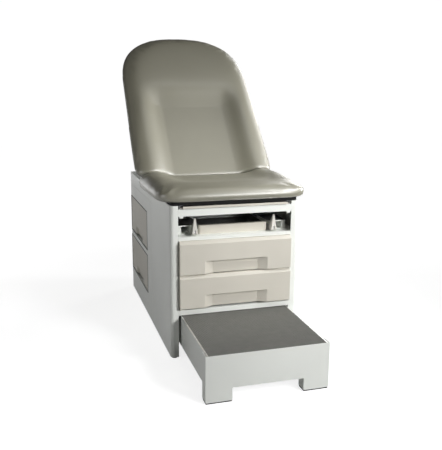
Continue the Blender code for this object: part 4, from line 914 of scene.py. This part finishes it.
# %% Screws in the sheet metal
# The two numbers of a screw are the radius and the height of its head.
REAR_SCREW = (0.0045, 0.0024)
REAR_INSET = 0.014
REAR_LEVELS = (0.05, 0.35, 0.65, 0.95)
TRIM_SCREW = (0.0030, 0.0011)
TRIM_SHARES = (0.06, 0.35, 0.65, 0.94)

low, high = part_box("rear_panel")
levels = [low.z + share * (high.z - low.z) for share in REAR_LEVELS]
across = high.x - REAR_INSET
spots = [(side * across, high.y, level) for side in (-1, 1) for level in levels]
places = [facing(spot, (0, 1, 0), 0.4 * number) for number, spot in enumerate(spots)]
master = socket_screw("rear_screw", *REAR_SCREW)
spread_copies(master, places, "cabinet", ZINC)

places = []
for side in ("left", "right"):
    low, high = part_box("step_trim_" + side)
    middle = (low.x + high.x) / 2
    for share in TRIM_SHARES:
        spot = (middle, low.y + share * (high.y - low.y), high.z)
        places.append(facing(spot, (0, 0, 1), share * 9))
master = socket_screw("trim_screw", *TRIM_SCREW)
spread_copies(master, places, "step", STAINLESS)

# %% [markdown]
# The openings for the side drawers are edged with a thin ring in a black rubber finish. It
# is painted shade: it stands for the shadow in the gap round each drawer front. A box with
# a hole cut through it would do, but here a plane is inset, its middle is taken out, and the
# ring that is left is thickened and eased, which keeps an even rim. The drawer's box reaches
# 3 mm below its front, so the ring's opening stands 3 mm clear of the front all round.

# %% Painted shade round the side drawers
SHADE_RING_INNER = 0.0030
SHADE_RING_OUTER = 0.0074
SHADE_RING_THICK = 0.0010
SHADE_RING_CORNER = 0.008
SHADE_RING_SUNK = 0.1
SHARP_EDGE = 1.2


def flat_frame(name, width, height, rim, thick):
    """A flat ring in the floor plane, with rounded outer corners."""
    deselect_all()
    bpy.ops.mesh.primitive_plane_add(size=1.0)
    ring = added(name)
    edit_all(ring)
    bpy.ops.transform.resize(value=(width, height, 1))
    bpy.ops.mesh.bevel(offset=SHADE_RING_CORNER, segments=4, affect="VERTICES")
    bpy.ops.mesh.select_all(action="SELECT")
    bpy.ops.mesh.inset(thickness=rim)
    bpy.ops.mesh.delete(type="FACE")
    bpy.ops.mesh.select_all(action="SELECT")
    bpy.ops.mesh.extrude_region_move(TRANSFORM_OT_translate={"value": (0, 0, thick)})
    bpy.ops.mesh.select_all(action="SELECT")
    bpy.ops.mesh.normals_make_consistent(inside=False)
    select_parts(ring, "EDGE", lambda edge: edge.calc_face_angle(0) > SHARP_EDGE)
    bpy.ops.mesh.bevel(offset=0.25 * thick, segments=2, affect="EDGES")
    leave_edit()
    return smoothed(ring)


panel_low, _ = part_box("side_panel_left")
front_low, front_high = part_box("side_drawer_front_upper_left")
width = front_high.y - front_low.y + 2 * SHADE_RING_OUTER
height = front_high.z - front_low.z + 2 * SHADE_RING_OUTER
places = []
for level in ("upper", "lower"):
    low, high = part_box("side_drawer_front_" + level + "_left")
    middle = (low + high) / 2
    for side in (-1, 1):
        axes = Matrix(((0, 0, side), (side, 0, 0), (0, 1, 0))).to_4x4()
        face = side * (abs(panel_low.x) - SHADE_RING_SUNK * SHADE_RING_THICK)
        places.append(Matrix.Translation((face, middle.y, middle.z)) @ axes)
rim = SHADE_RING_OUTER - SHADE_RING_INNER
# The black ring is painted shade: the gap round each side drawer front.
master = flat_frame("bay_shade_ring", width, height, rim, SHADE_RING_THICK)
spread_copies(master, places, "cabinet", DARK_RUBBER)

# %% [markdown]
# Two knobs at each front corner of the seat board clamp accessories to it. They could be
# plain spheres, but clamping knobs of this size are domed heads with a socket, so they are
# made as large screws that look sideways out of the board's edge.

# %% Knobs of the seat board
BOARD_KNOB = (0.0052, 0.0060)
KNOB_PLACES = (0.046, 0.064)
KNOB_SUNK = 0.0002

low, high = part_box("seat_board")
level = (low.z + high.z) / 2
places = []
for side in (-1, 1):
    for reach in KNOB_PLACES:
        spot = (side * (high.x - KNOB_SUNK), low.y + reach, level)
        places.append(facing(spot, (side, 0, 0), 20 * reach))
master = socket_screw("board_knob", *BOARD_KNOB)
spread_copies(master, places, "cabinet", BLACK_COAT)

# %% [markdown]
# A thin black sheet lies on each stirrup housing. It is painted shade: it stands for the
# shadow that falls on the housings' tops under the rail. A sheet this thin keeps the shape of
# a cut sheet, so air and cloth would add nothing: a cube is flattened to a sheet, and its
# edges are eased.

# %% Painted shade on the stirrup housings
SHADE_SHEET_THICK = 0.0012
SHADE_SHEET_INSET = 0.0008

# Each black sheet, called foam in this cell, is painted shade on a housing's top.
for side in ("left", "right"):
    low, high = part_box("stirrup_housing_" + side)
    middle = (low + high) / 2
    deselect_all()
    bpy.ops.mesh.primitive_cube_add(size=1.0)
    foam = added("housing_foam_" + side)
    edit_all(foam)
    size = (high.x - low.x - 2 * SHADE_SHEET_INSET, high.y - low.y - 2 * SHADE_SHEET_INSET, SHADE_SHEET_THICK)
    bpy.ops.transform.resize(value=size)
    bpy.ops.transform.translate(value=(middle.x, middle.y, high.z + SHADE_SHEET_THICK / 2))
    bpy.ops.mesh.bevel(offset=0.3 * SHADE_SHEET_THICK, segments=2, affect="EDGES")
    leave_edit()
    dress(smoothed(foam), DARK_RUBBER, "cabinet")
# The foam in this line is the two sheets of painted shade.
print("foam on both housings")

# %% [markdown]
# Behind the back, bolts pass through the rails of the frame into the board, and wood screws
# hold the pad on it. Their places could be found in the room's axes with some trigonometry,
# but in the back's own axes they are plain rows, and the heads look straight away from the
# slope. The rows stand inside the side panels, which the board meets when it lies flat.

# %% Bolts behind the back
FRAME_BOLT = (0.0050, 0.0034)
BOLT_ROW = (0.10, 0.26, 0.41, 0.56)
RAIL_OUTSIDE = 0.21
RAIL_START = 0.10
BOARD_SCREW = (0.0042, 0.0020)
HEAD_ROW_X = (-0.25, -0.12, 0.12, 0.25)
HEAD_ROW_S = (0.66, 0.84)
SIDE_ROW_X = 0.256
SIDE_ROW_S = (0.10, 0.30, 0.50)
BOARD_FOOT = 0.3
BACK_DOWN = BACK_PLACE.to_3x3() @ Vector((0, 0, -1))


def behind_back(x, s, n):
    """A place behind the back, given in its own axes."""
    return facing(BACK_PLACE @ Vector((x, s, n)), BACK_DOWN, 3 * s)


rails = placed(frame["nodes"]["back_frame"], BACK_PLACE.inverted())
rails = rails[(abs(rails[:, 0]) > RAIL_OUTSIDE) & (rails[:, 1] > RAIL_START)]
rail_x = (abs(rails[:, 0]).min() + abs(rails[:, 0]).max()) / 2
rail_low = rails[:, 2].min()
bolts = [(side * rail_x, s, rail_low) for side in (-1, 1) for s in BOLT_ROW]
places = [behind_back(*spot) for spot in bolts]
master = socket_screw("frame_bolt", *FRAME_BOLT)
spread_copies(master, places, "back", ZINC)

board = placed(frame["nodes"]["back_board"], BACK_PLACE.inverted())
board_low = board[board[:, 1] < BOARD_FOOT][:, 2].min()
screws = [(x, s, board_low) for x in HEAD_ROW_X for s in HEAD_ROW_S]
screws += [(side * SIDE_ROW_X, s, board_low) for side in (-1, 1) for s in SIDE_ROW_S]
places = [behind_back(*spot) for spot in screws]
master = socket_screw("board_screw", *BOARD_SCREW)
spread_copies(master, places, "back", BLACK_COAT)

# %% [markdown]
# The gas spring ends in an eye at each end. Nuts close its two pins, and a turned collar
# closes the barrel where the bright rod runs out of it. A nut could be a plain prism, but
# the end of its bolt stands out of it, so that is raised from its own top face. The
# spring's own joints say where its foot is and which way its rod runs.

# %% Nuts and collar of the gas spring
SPRING_JOINT = next(joint for joint in frame["joints"] if joint["name"] == "spring_pivot")
STROKE_JOINT = next(joint for joint in frame["joints"] if joint["name"] == "spring_stroke")
SPRING_FOOT = Vector(SPRING_JOINT["pos_m"])
SPRING_AXIS = Vector(STROKE_JOINT["axis"])
SPRING_NUT = (0.0068, 0.0036)
NUT_REACH = 0.0098
CLEVIS = (0.200, -0.110)
COLLAR_AT = 0.1462
COLLAR_RADIUS = 0.0128
COLLAR_LENGTH = 0.0100
BARREL_RADIUS = 0.0112
BARREL_END = 0.0062
ROD_HOLE = 0.0052


def hex_nut(name, radius, height):
    """A six-sided nut with rounded corners and the end of its bolt."""
    deselect_all()
    lift = (0, 0, height / 2)
    bpy.ops.mesh.primitive_cylinder_add(vertices=6, radius=radius, depth=height, location=lift)
    nut = added(name)
    bpy.ops.object.transform_apply(location=True, rotation=False, scale=False)
    edit_all(nut)
    bpy.ops.mesh.bevel(offset=0.10 * radius, segments=2, affect="EDGES")
    select_parts(nut, "FACE", lambda face: face.normal.z > 0.99)
    bpy.ops.mesh.inset(thickness=0.36 * radius)
    bpy.ops.mesh.extrude_region_move(TRANSFORM_OT_translate={"value": (0, 0, 0.25 * height)})
    bpy.ops.mesh.inset(thickness=0.08 * radius)
    leave_edit()
    return smoothed(nut)


places = []
for side in (-1, 1):
    spot = SPRING_FOOT + Vector((side * NUT_REACH, 0, 0))
    places.append(facing(spot, (side, 0, 0)))
master = hex_nut("spring_foot_nut", *SPRING_NUT)
spread_copies(master, places, "cabinet", ZINC)
places = []
for side in (-1, 1):
    spot = BACK_PLACE @ Vector((side * NUT_REACH, *CLEVIS))
    places.append(facing(spot, (side, 0, 0)))
master = hex_nut("spring_head_nut", *SPRING_NUT)
spread_copies(master, places, "back", ZINC)

outside = [(BARREL_RADIUS, 0), (COLLAR_RADIUS, 0.0010), (COLLAR_RADIUS, 0.0085)]
end = [(0.0118, COLLAR_LENGTH), (0.0060, COLLAR_LENGTH), (ROD_HOLE, 0.0090)]
inside = [(ROD_HOLE, BARREL_END), (BARREL_RADIUS, BARREL_END), (BARREL_RADIUS, 0)]
place = facing(SPRING_FOOT + COLLAR_AT * SPRING_AXIS, SPRING_AXIS)
master = turned("spring_collar", outside + end + inside)
spread_copies(master, [place], "spring_cylinder", BLACK_COAT)

# %% [markdown]
# The release handle is a steel loop with a rubber grip slid over its far bar. Rings in the
# grip keep wet gloves from slipping. They could be separate rings, but rubber is moulded in
# one piece, so they are waves in one profile that is spun. The grip is slim, because it
# must clear the board when the handle is squeezed.

# %% Grip of the release handle
GRIP_HALF = 0.058
GRIP_RADIUS = 0.0072
GRIP_BORE = 0.0052
GRIP_END = 0.0064
GRIP_ROUNDING = 0.003
GRIP_PLAIN = 0.006
GRIP_RINGS = 9
RING_DEPTH = 0.0009
BAR_THICK = 0.0102

loop = placed(frame["nodes"]["release_handle"], BACK_PLACE.inverted())
bar = loop[loop[:, 1] > loop[:, 1].max() - BAR_THICK]
bar_s = (bar[:, 1].min() + bar[:, 1].max()) / 2
bar_n = (bar[:, 2].min() + bar[:, 2].max()) / 2
groove = GRIP_RADIUS - RING_DEPTH
profile = [(GRIP_BORE, -GRIP_HALF), (GRIP_END, -GRIP_HALF)]
profile.append((GRIP_RADIUS, GRIP_ROUNDING - GRIP_HALF))
pitch = 2 * (GRIP_HALF - GRIP_PLAIN) / GRIP_RINGS
for number in range(GRIP_RINGS):
    start = GRIP_PLAIN - GRIP_HALF + number * pitch
    profile += [(GRIP_RADIUS, start), (groove, start + 0.2 * pitch)]
    profile += [(groove, start + 0.4 * pitch), (GRIP_RADIUS, start + 0.6 * pitch)]
profile.append((GRIP_RADIUS, GRIP_HALF - GRIP_ROUNDING))
profile += [(GRIP_END, GRIP_HALF), (GRIP_BORE, GRIP_HALF), profile[0]]
place = facing(BACK_PLACE @ Vector((0, bar_s, bar_n)), (1, 0, 0))
master = turned("handle_grip", profile)
spread_copies(master, [place], "handle", DARK_RUBBER)

# %% [markdown]
# The floor is matt paper. Lit paper alone would turn grey far from the lamps and draw a
# horizon, and white paper would throw too much light back up. So the paper is grey, and to
# the camera it also glows: less near the table, where the soft shadow has to show, and more
# with distance. Shiny pieces mirror a third of the glow.

# %% Floor finish
PAPER_DARK = (0.53, 0.53, 0.53)
PAPER_LIGHT = (0.56, 0.56, 0.56)
GLOW_NEAR, GLOW_FAR = 0.80, 1.0
GLOW_START, GLOW_FULL = 1.0, 3.6
FLOOR_SHEEN = 0.34

made, shader, place, node, link = finish_named("floor_paper")
speck = spread(node, noise(node, place, scale=6.0, detail=3.0), 0, 1)
link(between(node, speck, tinted(PAPER_DARK), tinted(PAPER_LIGHT)), "Base Color")
settle(shader, {"Roughness": 0.9, "Specular IOR Level": 0.1})
far = node("VectorMath", {0: place}, operation="LENGTH").outputs["Value"]
glow = spread(node, far, GLOW_NEAR, GLOW_FAR, GLOW_START, GLOW_FULL)
path = node("LightPath").outputs
glossy = {0: path["Is Glossy Ray"], 1: FLOOR_SHEEN}
sheen = node("Math", glossy, operation="MULTIPLY").outputs[0]
seen = node("Math", {0: path["Is Camera Ray"], 1: sheen}, operation="ADD").outputs[0]
glow = node("Math", {0: glow, 1: seen}, operation="MULTIPLY").outputs[0]
link(glow, "Emission Strength")
settle(shader, {"Emission Color": (1, 1, 1, 1)})
floor.data.materials.append(made)
print("floor finish:", made.name)

# %% [markdown]
# Padding and hardware stand out from the solids, so the dressed table is a little larger.
# Its size could be noted by hand, but a measured one follows every change. The last line
# prints it.

# %% Sizes and the end
low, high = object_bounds()
print("dressed size, mm:", [round(1000 * v) for v in high - low])
